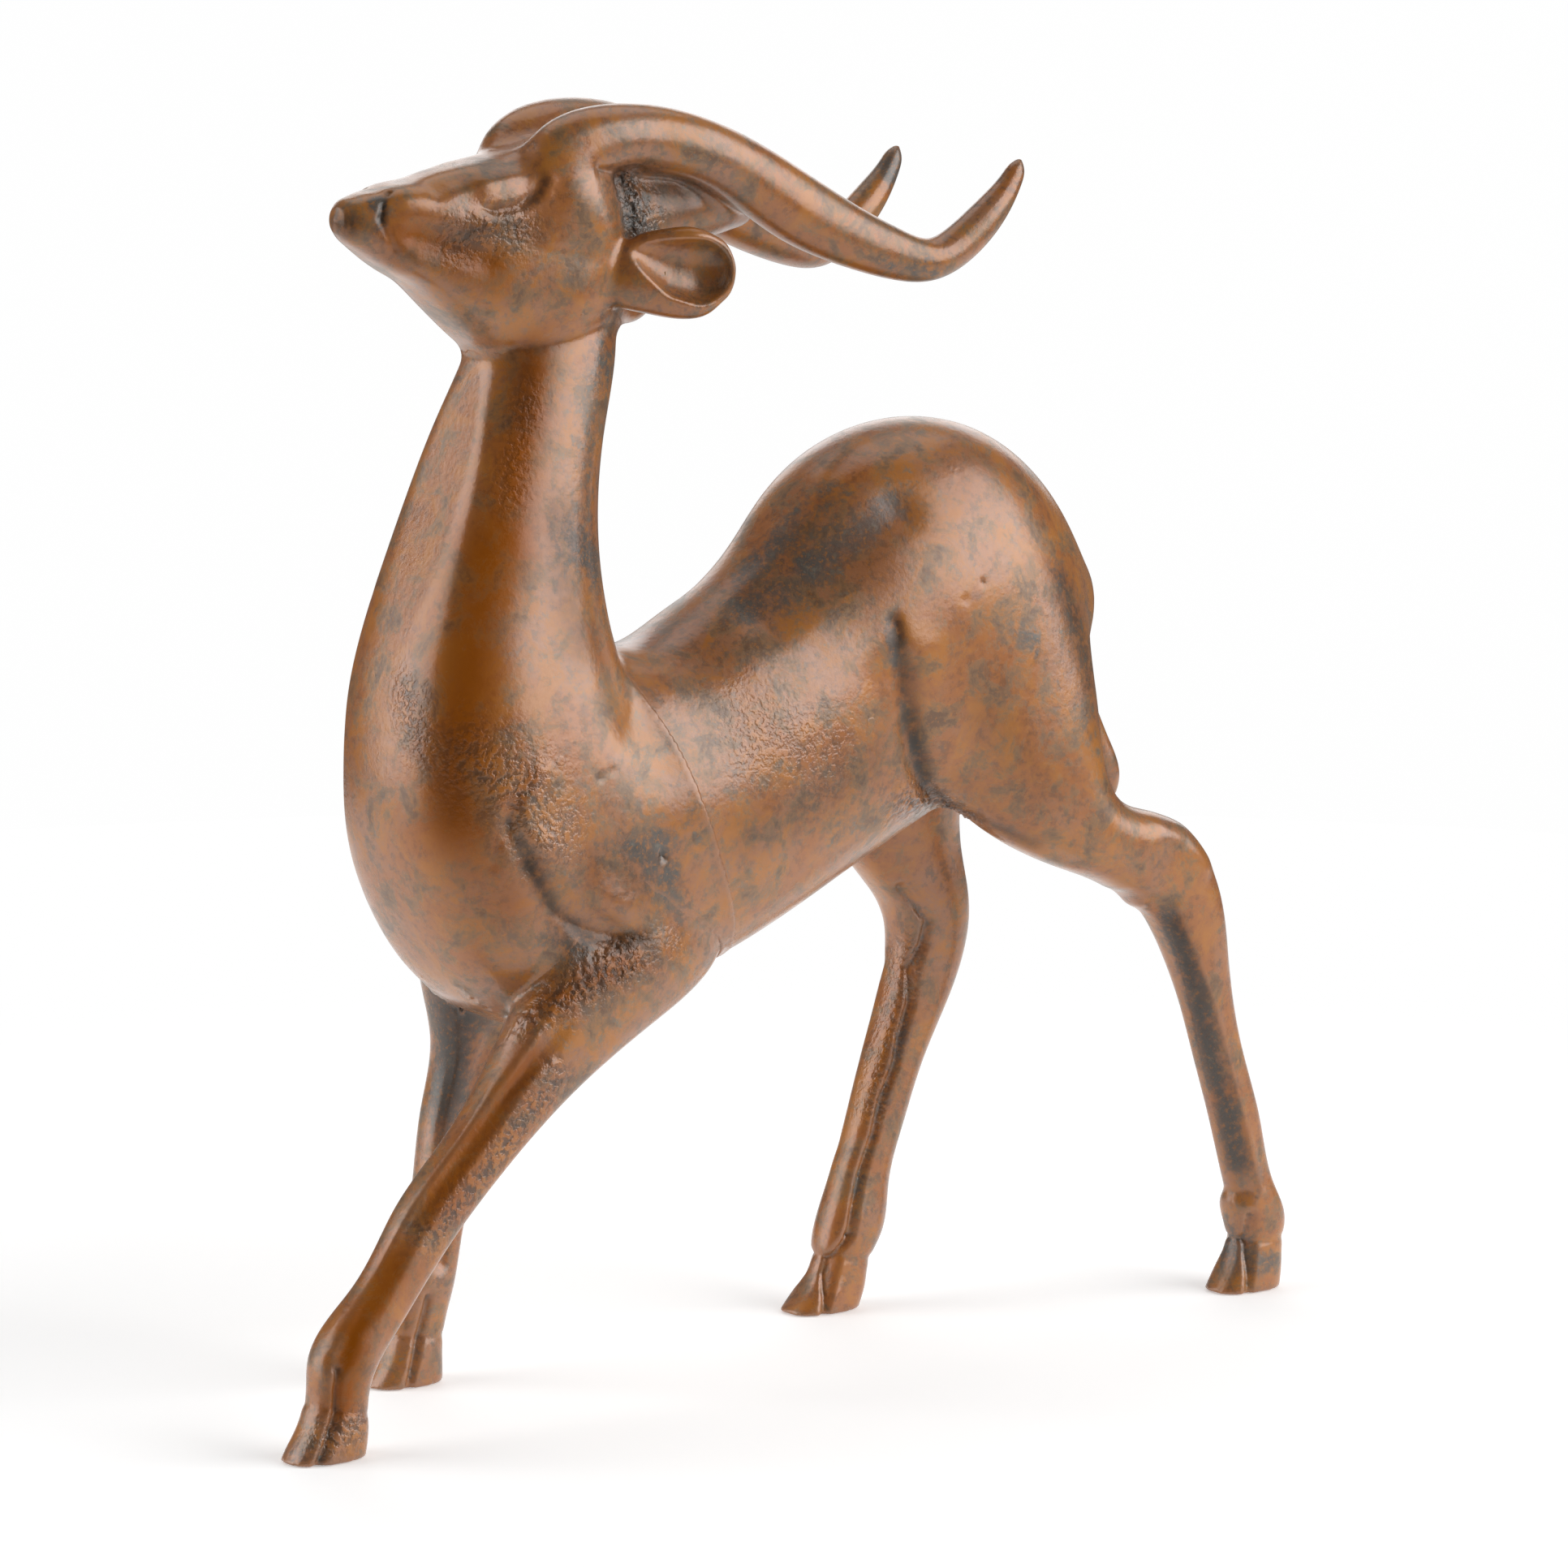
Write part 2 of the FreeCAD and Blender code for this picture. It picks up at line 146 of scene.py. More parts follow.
LEGS = {"hind_leg_left": [
    (52, -5, 204, 15, 27, 11, 2),
    (56, -11.5, 184, 20, 31, 14.5, 2.1),
    (64.3, -19, 161.8, 30, 29.2, 13.5, 2.2),
    (75, -22, 141.4, 40, 21.3, 12, 2.3),
    (88.7, -23.5, 124.7, 46, 11.7, 10.5, 2.4),
    (107.9, -24, 116, 38, 12.3, 9.5, 2.6),
    (117.4, -24, 105.2, 12, 12.6, 8.5, 2.7),
    (124.6, -24, 88, 0, 9.4, 7, 2.8),
    (131.5, -24, 64, 0, 7.8, 5.8, 2.8),
    (138, -24, 44, 0, 7.8, 5.8, 2.8),
    (142.9, -24, 27, 0, 7.7, 6.2, 2.6),
    (146.1, -24, 18, 0, 8.1, 6.8, 2.5),
    (146, -24, 12, 0, 7.6, 6.4, 2.5),
    (144.6, -24, 6, 0, 8.4, 7, 2.6),
    (142.4, -24, 0, 0, 10, 7.2, 2.6),
    (141, -24, -4, 0, 10.6, 7.2, 2.6),
], "hind_leg_right": [
    (57, 5, 206, 10, 27, 11, 2),
    (57, 11.5, 186, 10, 31, 14.5, 2.1),
    (61, 20, 158, 15, 27, 14, 2.2),
    (63.6, 22.5, 136, 10, 21, 12, 2.3),
    (68, 24, 117, 0, 17, 10, 2.4),
    (76.5, 24, 98, 0, 11.2, 8.5, 2.6),
    (74.7, 24, 84, 0, 10, 7.5, 2.7),
    (65.2, 24, 62, 0, 8.2, 6.5, 2.8),
    (59.4, 24, 46, 0, 7.8, 5.8, 2.8),
    (54.4, 24, 31, 0, 8, 6, 2.7),
    (50.8, 24, 18, 0, 8.8, 7, 2.5),
    (48.2, 24, 11.5, 0, 7.8, 6.3, 2.5),
    (45.6, 24, 5.5, 0, 8.8, 6.9, 2.6),
    (42, 24, 0, 0, 10.4, 7.1, 2.6),
    (40, 24, -4, 0, 11, 7.1, 2.6),
], "foreleg_left": [
    (-30, -11, 130, -38, 18, 9, 2),
    (-44, -16.5, 121, -38, 26, 12, 2.1),
    (-60.2, -21, 105.6, -43, 19.3, 11.5, 2.3),
    (-81.7, -24, 86.6, -46, 11.5, 8.5, 2.6),
    (-99.5, -25, 68.6, -44, 8.1, 6.5, 2.8),
    (-115.9, -25, 51.9, -40, 7.8, 6, 2.8),
    (-129.4, -25, 34.5, -36, 7.1, 6, 2.7),
    (-139.7, -25, 21.3, -14, 7.9, 7, 2.5),
    (-141, -25, 13.5, -5, 7.4, 6.2, 2.5),
    (-142.5, -25, 6.5, 0, 8.6, 6.9, 2.6),
    (-145.2, -25, 0, 0, 10.4, 7.1, 2.6),
    (-147, -25, -4, 0, 11, 7.1, 2.6),
], "foreleg_right": [
    (-67, 16, 132, 0, 20, 12, 2),
    (-67, 18, 124, 0, 20, 12, 2.1),
    (-66.8, 19.5, 110, 0, 17, 11.5, 2.3),
    (-66.6, 21.5, 97, 0, 13.5, 10, 2.5),
    (-66.8, 23, 84, 0, 10.2, 7.8, 2.6),
    (-71, 25, 66, 0, 7.8, 6.5, 2.8),
    (-74, 25, 50, 0, 7.4, 6, 2.8),
    (-77.5, 25, 36, 0, 7.2, 6, 2.7),
    (-81.5, 25, 23, 0, 8.3, 6.9, 2.5),
    (-83.3, 25, 13.5, 0, 7.4, 6.3, 2.5),
    (-85, 25, 6.5, 0, 8.2, 6.9, 2.6),
    (-87, 25, 0, 0, 10.2, 7.1, 2.6),
    (-88.5, 25, -4, 0, 10.8, 7.1, 2.6),
]}

HORN = [
    (-62, -7.5, 282, 175, 12, 7.5, 2),
    (-61, -8.5, 288.5, 170, 13, 8, 2),
    (-59.6, -8.8, 298.8, 152, 12.3, 8, 2),
    (-49.6, -10.2, 304.3, 115, 8.9, 7.8, 2),
    (-38.7, -11.3, 304.1, 93, 8.1, 7.5, 2),
    (-28, -13, 301.8, 73, 7.8, 7.3, 2),
    (-15.6, -14, 296.8, 64, 7.9, 7, 2),
    (2.4, -15.5, 285.9, 63, 8.6, 6.8, 2),
    (21.8, -18.4, 276.1, 67, 7.1, 6, 2),
    (30.7, -20, 272.7, 77, 6.2, 5.5, 2),
    (40, -21.8, 271, 93, 5.2, 5, 2),
    (50.2, -22.9, 275.5, 118, 4.9, 4.5, 2),
    (59.4, -23.6, 283.6, 137, 3.9, 3.8, 2),
    (64.2, -23.9, 289.5, 146, 2.8, 2.6, 2),
    (66.1, -24, 292.9, 150, 1.6, 1.5, 2),
    (66.7, -24, 294.1, 150, 0.5, 0.5, 2),
]

EAR = [
    (-53, -10, 272.6, 80, 5, 4, 2),
    (-50, -13, 272.8, 80, 7.5, 5, 2),
    (-43, -17.5, 272.8, 84, 9.8, 5, 2.2),
    (-36, -20.6, 272.4, 90, 11, 5, 2.3),
    (-30, -22.8, 272.6, 95, 10.2, 4.4, 2.2),
    (-26.2, -23.9, 273, 95, 7.8, 3.6, 2),
    (-23.8, -24.5, 273.3, 95, 4.4, 2.6, 2),
    (-23, -24.7, 273.5, 95, 1.6, 1.4, 2),
]

TAIL = [
    (89, 0, 172, 40, 5, 5, 2),
    (94, 0, 168, 30, 5.4, 5, 2),
    (104, 0, 156, 14, 4.6, 4, 2.3),
    (111.9, 0, 142, 10, 4, 3, 2.4),
    (117, 0, 130.2, 4, 2.5, 2, 2.2),
    (118, 0, 128, 0, 1, 0.8, 2),
]


def natural_spline(knots, values, at):
    """A natural cubic spline through the values, with continuous curvature."""
    count = len(knots)
    gap = np.diff(knots)
    system = np.zeros((count, count))
    right = np.zeros((count, values.shape[1]))
    system[0, 0] = system[-1, -1] = 1
    for k in range(1, count - 1):
        system[k, k - 1:k + 2] = gap[k - 1], 2 * (gap[k - 1] + gap[k]), gap[k]
        right[k] = 6 * ((values[k + 1] - values[k]) / gap[k]
                        - (values[k] - values[k - 1]) / gap[k - 1])
    bend = np.linalg.solve(system, right)
    k = np.clip(np.searchsorted(knots, at, side="right") - 1, 0, count - 2)
    h = gap[k][:, None]
    before = (at - knots[k])[:, None]
    after = h - before
    return (bend[k] * after ** 3 + bend[k + 1] * before ** 3) / (6 * h) \
        + (values[k] / h - bend[k] * h / 6) * after \
        + (values[k + 1] / h - bend[k + 1] * h / 6) * before


def smooth_min(a, b, width):
    """The union of two fields, with a fillet about width wide."""
    near = np.maximum(width - np.abs(a - b), 0) / width
    return np.minimum(a, b) - near * near * width / 4


def smooth_max(a, b, width):
    return -smooth_min(-a, -b, width)


class Window:
    """A box of grid points on which fields are worked out."""

    def __init__(self, low, high, pitch):
        self.pitch = pitch
        self.first = tuple(math.floor(n / pitch) for n in low)
        self.shape = tuple(math.ceil(n / pitch) - start + 1 for n, start in zip(high, self.first))
        self.axes = [(start + np.arange(count)) * pitch for start, count in zip(self.first, self.shape)]

    def part(self, low, high):
        """The slices that cover a smaller box and their coordinates, or None."""
        cuts = []
        for k in range(3):
            start = np.searchsorted(self.axes[k], low[k])
            stop = np.searchsorted(self.axes[k], high[k])
            if start >= stop:
                return None
            cuts.append(slice(int(start), int(stop)))
        return (tuple(cuts),) + self.coordinates(cuts)

    def coordinates(self, cuts=(slice(None),) * 3):
        x, y, z = (axis[cut].astype(np.float32) for axis, cut in zip(self.axes, cuts))
        return x[:, None, None], y[None, :, None], z[None, None, :]


class Form:
    """A closed surface lofted through stations, and its distance fields."""

    def __init__(self, stations, spacing=1.0):
        stations = np.array(stations, float)
        steps = np.linalg.norm(np.diff(stations[:, :3], axis=0), axis=1)
        along = np.r_[0, np.cumsum(steps)]
        count = int(along[-1] / spacing) + 2
        rows = natural_spline(along, stations, np.linspace(0, along[-1], count))
        turn = np.linspace(0, 2 * math.pi, RING_POINTS, endpoint=False)
        power = 2 / np.maximum(rows[:, 6:7], 1.6)
        lean = np.radians(rows[:, 3])
        fore = rows[:, 4:5] * np.sign(np.cos(turn)) * np.abs(np.cos(turn)) ** power
        side = rows[:, 5:6] * np.sign(np.sin(turn)) * np.abs(np.sin(turn)) ** power
        rings = np.stack([
            rows[:, 0:1] + fore * np.cos(lean)[:, None],
            rows[:, 1:2] + side,
            rows[:, 2:3] + fore * np.sin(lean)[:, None],
        ], axis=-1)
        self.points = np.vstack([rings.reshape(-1, 3), rows[0, :3], rows[-1, :3]])
        self.low, self.high = self.points.min(0), self.points.max(0)
        here = np.arange(RING_POINTS)
        after = np.roll(here, -1)
        self.quads = np.concatenate([
            np.stack([here, after, after + RING_POINTS, here + RING_POINTS], 1) + k * RING_POINTS
            for k in range(count - 1)
        ])
        end = (count - 1) * RING_POINTS
        self.triangles = np.concatenate([
            np.stack([after, here, np.full_like(here, count * RING_POINTS)], 1),
            np.stack([here + end, after + end, np.full_like(here, count * RING_POINTS + 1)], 1),
        ])
        self.grids = {}

    def grid(self, pitch, band):
        if pitch not in self.grids:
            self.grids[pitch] = openvdb.FloatGrid.createLevelSetFromPolygons(
                self.points.astype(np.float32),
                triangles=self.triangles.astype(np.uint32),
                quads=self.quads.astype(np.uint32),
                transform=openvdb.createLinearTransform(voxelSize=pitch),
                halfWidth=band / pitch,
            )
        return self.grids[pitch]

    def touches(self, window):
        low = np.array([a[0] for a in window.axes])
        high = np.array([a[-1] for a in window.axes])
        return bool(np.all(self.low - BAND < high) and np.all(self.high + BAND > low))

    def distance(self, window):
        """The distance to the surface, negative inside, exact within the band."""
        values = np.empty(window.shape, np.float32)
        self.grid(window.pitch, BAND).copyToArray(values, ijk=window.first)
        return values

    def depth(self, window):
        """The distance again, rougher, but good deep inside and far outside too."""
        low = [int(math.floor(a[0] / DEEP_PITCH)) for a in window.axes]
        high = [int(math.ceil(a[-1] / DEEP_PITCH)) + 1 for a in window.axes]
        values = np.empty([b - a + 1 for a, b in zip(low, high)], np.float32)
        self.grid(DEEP_PITCH, DEEP_BAND).copyToArray(values, ijk=tuple(low))
        for k in range(3):
            place = window.axes[k] / DEEP_PITCH - low[k]
            start = np.floor(place).astype(int)
            shape = [1, 1, 1]
            shape[k] = -1
            share = (place - start).astype(np.float32).reshape(shape)
            values = np.take(values, start, k) * (1 - share) + np.take(values, start + 1, k) * share
        return values


def other_side(stations):
    return [(s[0], -s[1]) + tuple(s[2:]) for s in stations]


neck, barrel, head, poll, tail = (Form(s) for s in (NECK, BARREL, HEAD, POLL, TAIL))
legs = {name: Form(stations) for name, stations in LEGS.items()}
horn_left, horn_right = Form(HORN), Form(other_side(HORN))
ear_left, ear_right = Form(EAR, 0.6), Form(other_side(EAR), 0.6)

# ---------------------------------------------------------------- chasing
# A line is (points, radius, height): the surface rises by the height along it, and sinks
# where the height is negative.  Lines of the body and head are made on both sides.

BODY_LINES = [
    # The crease between the shoulder and the breast, and the hollow below it
    ([(-87, -27, 156), (-91, -27.5, 150.5), (-91.5, -27.5, 146), (-90, -28.5, 141),
      (-87, -29.5, 135.5)], 2.0, -0.6),
    ([(-92, -27.5, 147), (-90.5, -28.5, 141), (-87, -30, 135.6)], 2.6, -0.7),
    ([(-86, -30.3, 134), (-83, -31, 130.5), (-77.5, -31, 124.3), (-65.3, -30, 118)], 3.0, -1.7),
    ([(-80, -31, 127), (-77.5, -31, 124.3), (-65.3, -30, 118), (-53.5, -27, 114.4)], 2.8, -1.3),
    ([(-84, -28.4, 131.5), (-79, -28.2, 124.5), (-70, -28.8, 118), (-63, -29.8, 115.5)], 1.7, -0.8),
    ([(-82, -31, 126), (-74, -31, 119), (-63, -29.5, 113.5)], 6.0, -1.2),
    ([(-83, -27.5, 157), (-87, -28, 151), (-88, -28.5, 145), (-84, -30, 139)], 3.0, 0.6),
    ([(-92, -27.2, 146), (-94.5, -26.2, 141), (-95, -25.8, 137)], 1.8, -0.45),
    ([(-82, -31, 140), (-76, -32, 133.5), (-68, -32, 127.5), (-60, -30.5, 123)], 5.0, 0.6),
    ([(-56, -28, 156), (-55.5, -29, 146), (-57, -29.5, 135)], 8.5, 1.3),
    # Front of the thigh: a groove, the belly drawn in before it and the thigh raised behind
    ([(23.8, -29, 184), (25, -29.6, 177)], 1.7, -0.5),
    ([(25.4, -30, 174), (26.4, -30, 168), (28.9, -29.6, 158.7)], 2.0, -1.2),
    ([(25.5, -30, 172), (28.5, -29.6, 158.7), (33, -27, 147)], 3.2, -1.3),
    ([(20.8, -29.5, 170), (22.5, -30, 162), (27, -29, 151)], 7.0, -0.9),
    ([(27.5, -29.5, 159), (31, -28, 149), (37, -23, 141.5), (46, -19, 135.5)], 2.4, -1.6),
    ([(32, -31, 176), (34, -31, 164), (40, -29.5, 149)], 5.5, 0.5),
    ([(52, -24, 131), (60, -27.5, 126.5), (70, -30, 122.5), (80, -30.5, 117.5)], 2.4, -0.8),
    # The hollow beside the spine
    ([(-6, -16, 187), (6, -19, 194), (17, -21, 202), (29, -22, 209)], 7.5, -1.7),
    # File marks across the neck, and a dent on the rump
    ([(-103, -11, 195), (-96, -17.5, 196.5), (-88, -20.5, 198)], 1.4, -0.25),
    ([(-104.5, -11, 190), (-97, -18, 191.5), (-90, -21, 192.5)], 1.2, -0.2),
]

HEAD_LINES = [
    # Facet from the muzzle to the eye, with the hollow under it
    ([(-106, -7, 291.6), (-97, -9.6, 289.6), (-88, -12, 286.6)], 4.0, 0.95),
    ([(-104, -9, 284.6), (-96, -11.2, 281.4), (-87, -12.9, 278.6)], 3.6, -0.9),
    # Socket, eyeball, the groove under it, and the lid
    ([(-98, -8.6, 295.6), (-90, -9.6, 298), (-82, -10.8, 300.8), (-75, -12, 302.5)], 3.0, -1.0),
    ([(-93, -9.2, 294.4), (-87, -10.4, 295.6)], 3.4, 0.7),
    ([(-84, -10.8, 296.2), (-80, -11.6, 297)], 5.0, 1.8),
    ([(-93.2, -8, 293), (-89.4, -10.4, 290.8), (-84, -12.6, 289.4), (-77.4, -13.6, 290.4),
      (-73, -14.4, 293.6), (-71.8, -14.6, 297.2), (-73.2, -13.6, 300.4)], 1.0, -0.9),
    ([(-89, -11.6, 288.2), (-84, -13.4, 287), (-76.4, -14.8, 288), (-71, -15.4, 292.4),
      (-69.6, -15, 296)], 1.7, 0.35),
    # Nostril: a nick, with the edge of the muzzle below it
    ([(-109, -4.8, 294.4), (-112, -6.4, 291.4), (-113, -7.2, 289)], 0.8, -0.7),
    ([(-113.2, -7.4, 288.6), (-111.6, -7.8, 285), (-109.8, -7.8, 281.6)], 0.9, -0.3),
    # Jaw
    ([(-104, -9, 276.4), (-98, -10, 272.6), (-91, -10.8, 267.8), (-85, -11.2, 263.6)], 2.4, 0.5),
    # Behind the cheek and under the jaw
    ([(-47.5, -11.5, 295.5), (-45.4, -12.8, 287), (-45, -13.4, 277), (-46, -13.4, 268)], 2.4, -1.2),
    ([(-60, -15.4, 292), (-55, -16.4, 284), (-55, -16.4, 275), (-60, -16, 267)], 5.0, 0.9),
    ([(-77, -9, 256.5), (-72, -12.5, 256), (-62, -14.6, 257.5), (-52, -13, 260)], 2.2, -0.7),
    # Where the horn leaves the skull
    ([(-56, -15.2, 297.5), (-50, -14.2, 296.6), (-44, -13, 297.6), (-38, -12, 298.4)], 1.8, -1.1),
]

WELDS = [
    # (points, radius, height, size of the ripples)
    ([(-87, -30.7, 101.5), (-81.5, -33.6, 106), (-71.5, -33, 110.5), (-62.5, -30, 112.5),
      (-50, -26.5, 112), (-40, -25, 113)], 3.2, 0.7, 3.4),
    ([(-90, -25, 96.5), (-77, -34, 103.5), (-65.5, -33.5, 105.5), (-55.5, -30, 108.5)], 2.6, 0.6, 3.0),
    ([(-93, -8.6, 102), (-84, -11, 95), (-76, -14, 93)], 2.2, 0.8, 3.0),
    ([(29.5, -24, 139), (38, -21, 138), (46, -18.5, 136), (52, -19.5, 131.5)], 3.0, 0.9, 2.6),
    ([(-45, -9, 296), (-43, -10.5, 291), (-41, -11.5, 285)], 2.6, 0.55, 2.8),
]

# Grooves and edges down both faces of each leg.  They're drawn from the side and reach right through.
LEG_LINES = {"foreleg_left": [
    ([(-148.5, 0, 13), (-144, 0, 12.4), (-136, 0, 10.2), (-131, 0, 9.6)], 1.2, -0.25),
    ([(-144, 0, 22), (-144.6, 0, 18), (-144.8, 0, 12), (-148, 0, 5), (-152, 0, -2)], 1.0, -1.3),
    ([(-149, 0, 12), (-154, 0, 4)], 2.2, 0.4),
], "foreleg_right": [
    ([(-66, 0, 86), (-72, 0, 66), (-76, 0, 46), (-79.5, 0, 30)], 2.4, -1.0),
    ([(-91, 0, 12.6), (-84, 0, 12.2), (-76, 0, 11.2)], 1.2, -0.3),
    ([(-83.4, 0, 22), (-86, 0, 12), (-90.5, 0, -2)], 1.0, -1.2),
], "hind_leg_left": [
    ([(109, 0, 104), (115, 0, 92.5), (122.5, 0, 75.5), (128.5, 0, 58.5), (134, 0, 41.5),
      (138, 0, 27)], 3.3, -2.3),
    ([(113, 0, 103), (121, 0, 88.5), (127.6, 0, 75), (133.4, 0, 58), (139, 0, 41),
      (143, 0, 27)], 1.4, 0.8),
    ([(108, 0, 124), (116, 0, 122.5), (122.5, 0, 114)], 3.6, 0.7),
    ([(136, 0, 14), (144, 0, 13.2), (155, 0, 13)], 1.2, -0.35),
    ([(140.5, 0, 20), (140.5, 0, 12), (138.5, 0, -2)], 1.0, -1.2),
    ([(100, 0, 107), (106, 0, 106.5)], 2.4, -0.8),
], "hind_leg_right": [
    ([(63, 0, 107.5), (67, 0, 103), (71, 0, 98), (70, 0, 92), (67.5, 0, 86), (66.5, 0, 77),
      (63.5, 0, 68.5), (62, 0, 62), (58, 0, 53), (55.5, 0, 44), (51.5, 0, 34.5),
      (48.5, 0, 25.5), (47, 0, 20)], 1.1, -1.2),
    ([(60, 0, 100), (62, 0, 84), (57, 0, 62), (49, 0, 42)], 3.4, -0.5),
    ([(38, 0, 14.5), (46, 0, 13.6), (57, 0, 12)], 1.2, -0.35),
    ([(46.5, 0, 19), (43, 0, 13.5), (40, 0, 6), (38, 0, -2)], 1.0, -1.2),
]}

# The near foreleg: a groove beside its front corner, with an edge on each side of it
CORNER_LINES = [
    ([(-80, -34, 96.5), (-93, -29.5, 82.7), (-103.3, -30.2, 72.8), (-118.8, -29.5, 57.7),
      (-128.9, -28.8, 44.5), (-140.5, -29.8, 30.9), (-144, -30.6, 24)], 2.3, -1.6),
    ([(-85, -32, 97), (-95.5, -28, 84), (-105.8, -28.3, 72.8), (-118, -28.3, 60.3),
      (-127.4, -27.6, 48), (-137.2, -28.2, 36), (-143.8, -29.6, 26.8)], 1.5, 0.6),
    ([(-86.4, -31.5, 86.5), (-99.2, -31.3, 72.4), (-114.5, -31, 56.8), (-123.7, -30.7, 44.3),
      (-131.1, -31.1, 33.7), (-137.3, -31.5, 23)], 1.7, 0.5),
]

# Casting pits: (place, radius)
PITS = [((-48.5, -30.2, 134.7), 0.9), ((-48.2, -30.2, 133.4), 0.8), ((-81.8, -33.2, 89.5), 0.9),
        ((43.9, -31.6, 187.7), 0.5), ((49.6, -31.4, 191.6), 0.45), ((-62.6, -29.4, 155.8), 0.5),
        ((-66.4, -29.8, 154.4), 0.45), ((12, 29.5, 150), 0.7), ((-60, 29.5, 140), 0.8)]

# Hollow of the ear: a ball that grows as it moves, (x, y, z, radius)
EAR_HOLLOW = [(-48, -20, 278.6, 2.2), (-43, -23.4, 276.4, 5.2), (-37.6, -26.2, 273.8, 7.6),
              (-33, -27.8, 272.8, 8.2)]


def chatter(x, y, z, size):
    """Smooth, irregular waves of about the size, from -1 to 1."""
    s = 2 * math.pi / size
    one = np.sin(s * x + 1.9 * np.sin(0.71 * s * y + 0.4)) \
        * np.sin(1.13 * s * y + 1.6 * np.sin(0.63 * s * z))
    two = np.sin(0.93 * s * z + 1.7 * np.sin(0.81 * s * x + 1.1)) \
        * np.cos(1.07 * s * x + 1.3 * np.sin(0.9 * s * z))
    return 0.5 * (one + two)


def squared_distance(points, x, y, z):
    """To a line through the points."""
    nearest = None
    for a, b in zip(points[:-1], points[1:]):
        d = b - a
        t = ((x - a[0]) * d[0] + (y - a[1]) * d[1] + (z - a[2]) * d[2]) / max(float(d @ d), 1e-9)
        t = np.clip(t, 0, 1)
        square = (x - a[0] - t * d[0]) ** 2 + (y - a[1] - t * d[1]) ** 2 + (z - a[2] - t * d[2]) ** 2
        nearest = square if nearest is None else np.minimum(nearest, square)
    return nearest


def press(window, field, points, radius, height, across=None, ripple=0.0):
    """Raise or sink the surface along a line.  With across, a range of Y, the line counts at
    every Y in it."""
    points = np.array(points, np.float32)
    low, high = points.min(0) - REACH * radius, points.max(0) + REACH * radius
    if across:
        low[1], high[1] = across
    found = window.part(low, high)
    if found is None:
        return
    cuts, x, y, z = found
    square = squared_distance(points, x, y * 0 if across else y, z)
    swell = height * np.exp(-square / radius ** 2)
    if ripple:
        swell = swell * (0.25 + chatter(x, y, z, ripple) + 0.6 * chatter(y, z, x, ripple * 0.6))
    field[cuts] -= swell


def mirror(points):
    return [(p[0], -p[1], p[2]) for p in points]


def seam_x(z):
    """Where the chest ends on the barrel, at each height."""
    return np.interp(z, [90, 106, 118, 130, 144, 155, 165, 175, 181, 185, 190, 200],
                     [-17, -18.5, -25, -31, -36.5, -40.5, -44.5, -48.5, -50.5, -49.5, -45, -34])


def by_height(window, table):
    """Values that change with Z, laid out for a window."""
    return np.interp(window.axes[2], *table).astype(np.float32)[None, None, :]


def body_field(window):
    """The outside of the whole figure in a window."""
    x, y, z = window.coordinates()
    whole = np.full(window.shape, BAND, np.float32)
    if neck.touches(window):
        heights, fronts = np.array(sorted(BREAST), float).T
        level = np.clip(window.axes[2], heights[0], heights[-1])
        front = natural_spline(heights, fronts[:, None], level)[:, 0]
        steep = np.sqrt(1 + np.gradient(front, window.axes[2]) ** 2)
        plane = (front[None, None, :].astype(np.float32) - x) / steep[None, None, :]
        whole = smooth_max(neck.distance(window), plane.astype(np.float32), by_height(window, NECK_EDGE))
    if barrel.touches(window):
        whole = smooth_min(whole, barrel.distance(window), by_height(window, WITHERS_FILLET))
    for name, form in legs.items():
        if form.touches(window):
            fillet = THIGH_FILLET if "hind" in name else by_height(window, SHOULDER_FILLET)
            whole = smooth_min(whole, form.distance(window), fillet)
    if tail.touches(window):
        whole = smooth_min(whole, tail.distance(window), TAIL_FILLET)
    if head.touches(window):
        skull = smooth_min(head.distance(window), poll.distance(window), POLL_FILLET)
        for horn in (horn_left, horn_right):
            skull = smooth_min(skull, horn.distance(window), HORN_FILLET)
        for ear, side in ((ear_left, 1), (ear_right, -1)):
            cup = smooth_max(ear.distance(window), -ear_hollow(window, side), EAR_RIM)
            skull = smooth_min(skull, cup, EAR_FILLET)
        whole = smooth_min(whole, skull, HEAD_FILLET)

    for points, radius, height, *ripple in BODY_LINES + HEAD_LINES + WELDS:
        for line in (points, mirror(points)):
            press(window, whole, line, radius, height, None, *ripple)
    for name, lines in LEG_LINES.items():
        reach = (-40.0, -3.0) if "left" in name else (3.0, 40.0)
        for points, radius, height in lines:
            press(window, whole, points, radius, height, across=reach)
    for points, radius, height in CORNER_LINES:
        press(window, whole, points, radius, height)
    for at, radius in PITS:
        press(window, whole, [at, (at[0], at[1], at[2] + 0.3)], radius, -PIT_DEPTH)
    return np.maximum(whole, -z)


def ear_hollow(window, side):
    x, y, z = window.coordinates()
    result = np.full(window.shape, BAND, np.float32)
    steps = np.array(EAR_HOLLOW, np.float32)
    steps[:, 1] *= side
    for at in np.linspace(0, len(steps) - 1, 13):
        k = min(int(at), len(steps) - 2)
        ball = steps[k] + (steps[k + 1] - steps[k]) * (at - k)
        found = window.part(ball[:3] - ball[3] - 4, ball[:3] + ball[3] + 4)
        if found is None:
            continue
        cuts, px, py, pz = found
        gap = np.sqrt((px - ball[0]) ** 2 + (py - ball[1]) ** 2 + (pz - ball[2]) ** 2) - ball[3]
        result[cuts] = np.minimum(result[cuts], gap)
    return result


# ---------------------------------------------------------------- castings


def neighbours(points, quads):
    """Both ends of each quad's edges, and how many edges meet at each point."""
    start, end = quads.ravel(), np.roll(quads, -1, 1).ravel()
    return start, end, np.maximum(np.bincount(start, minlength=len(points)), 1)


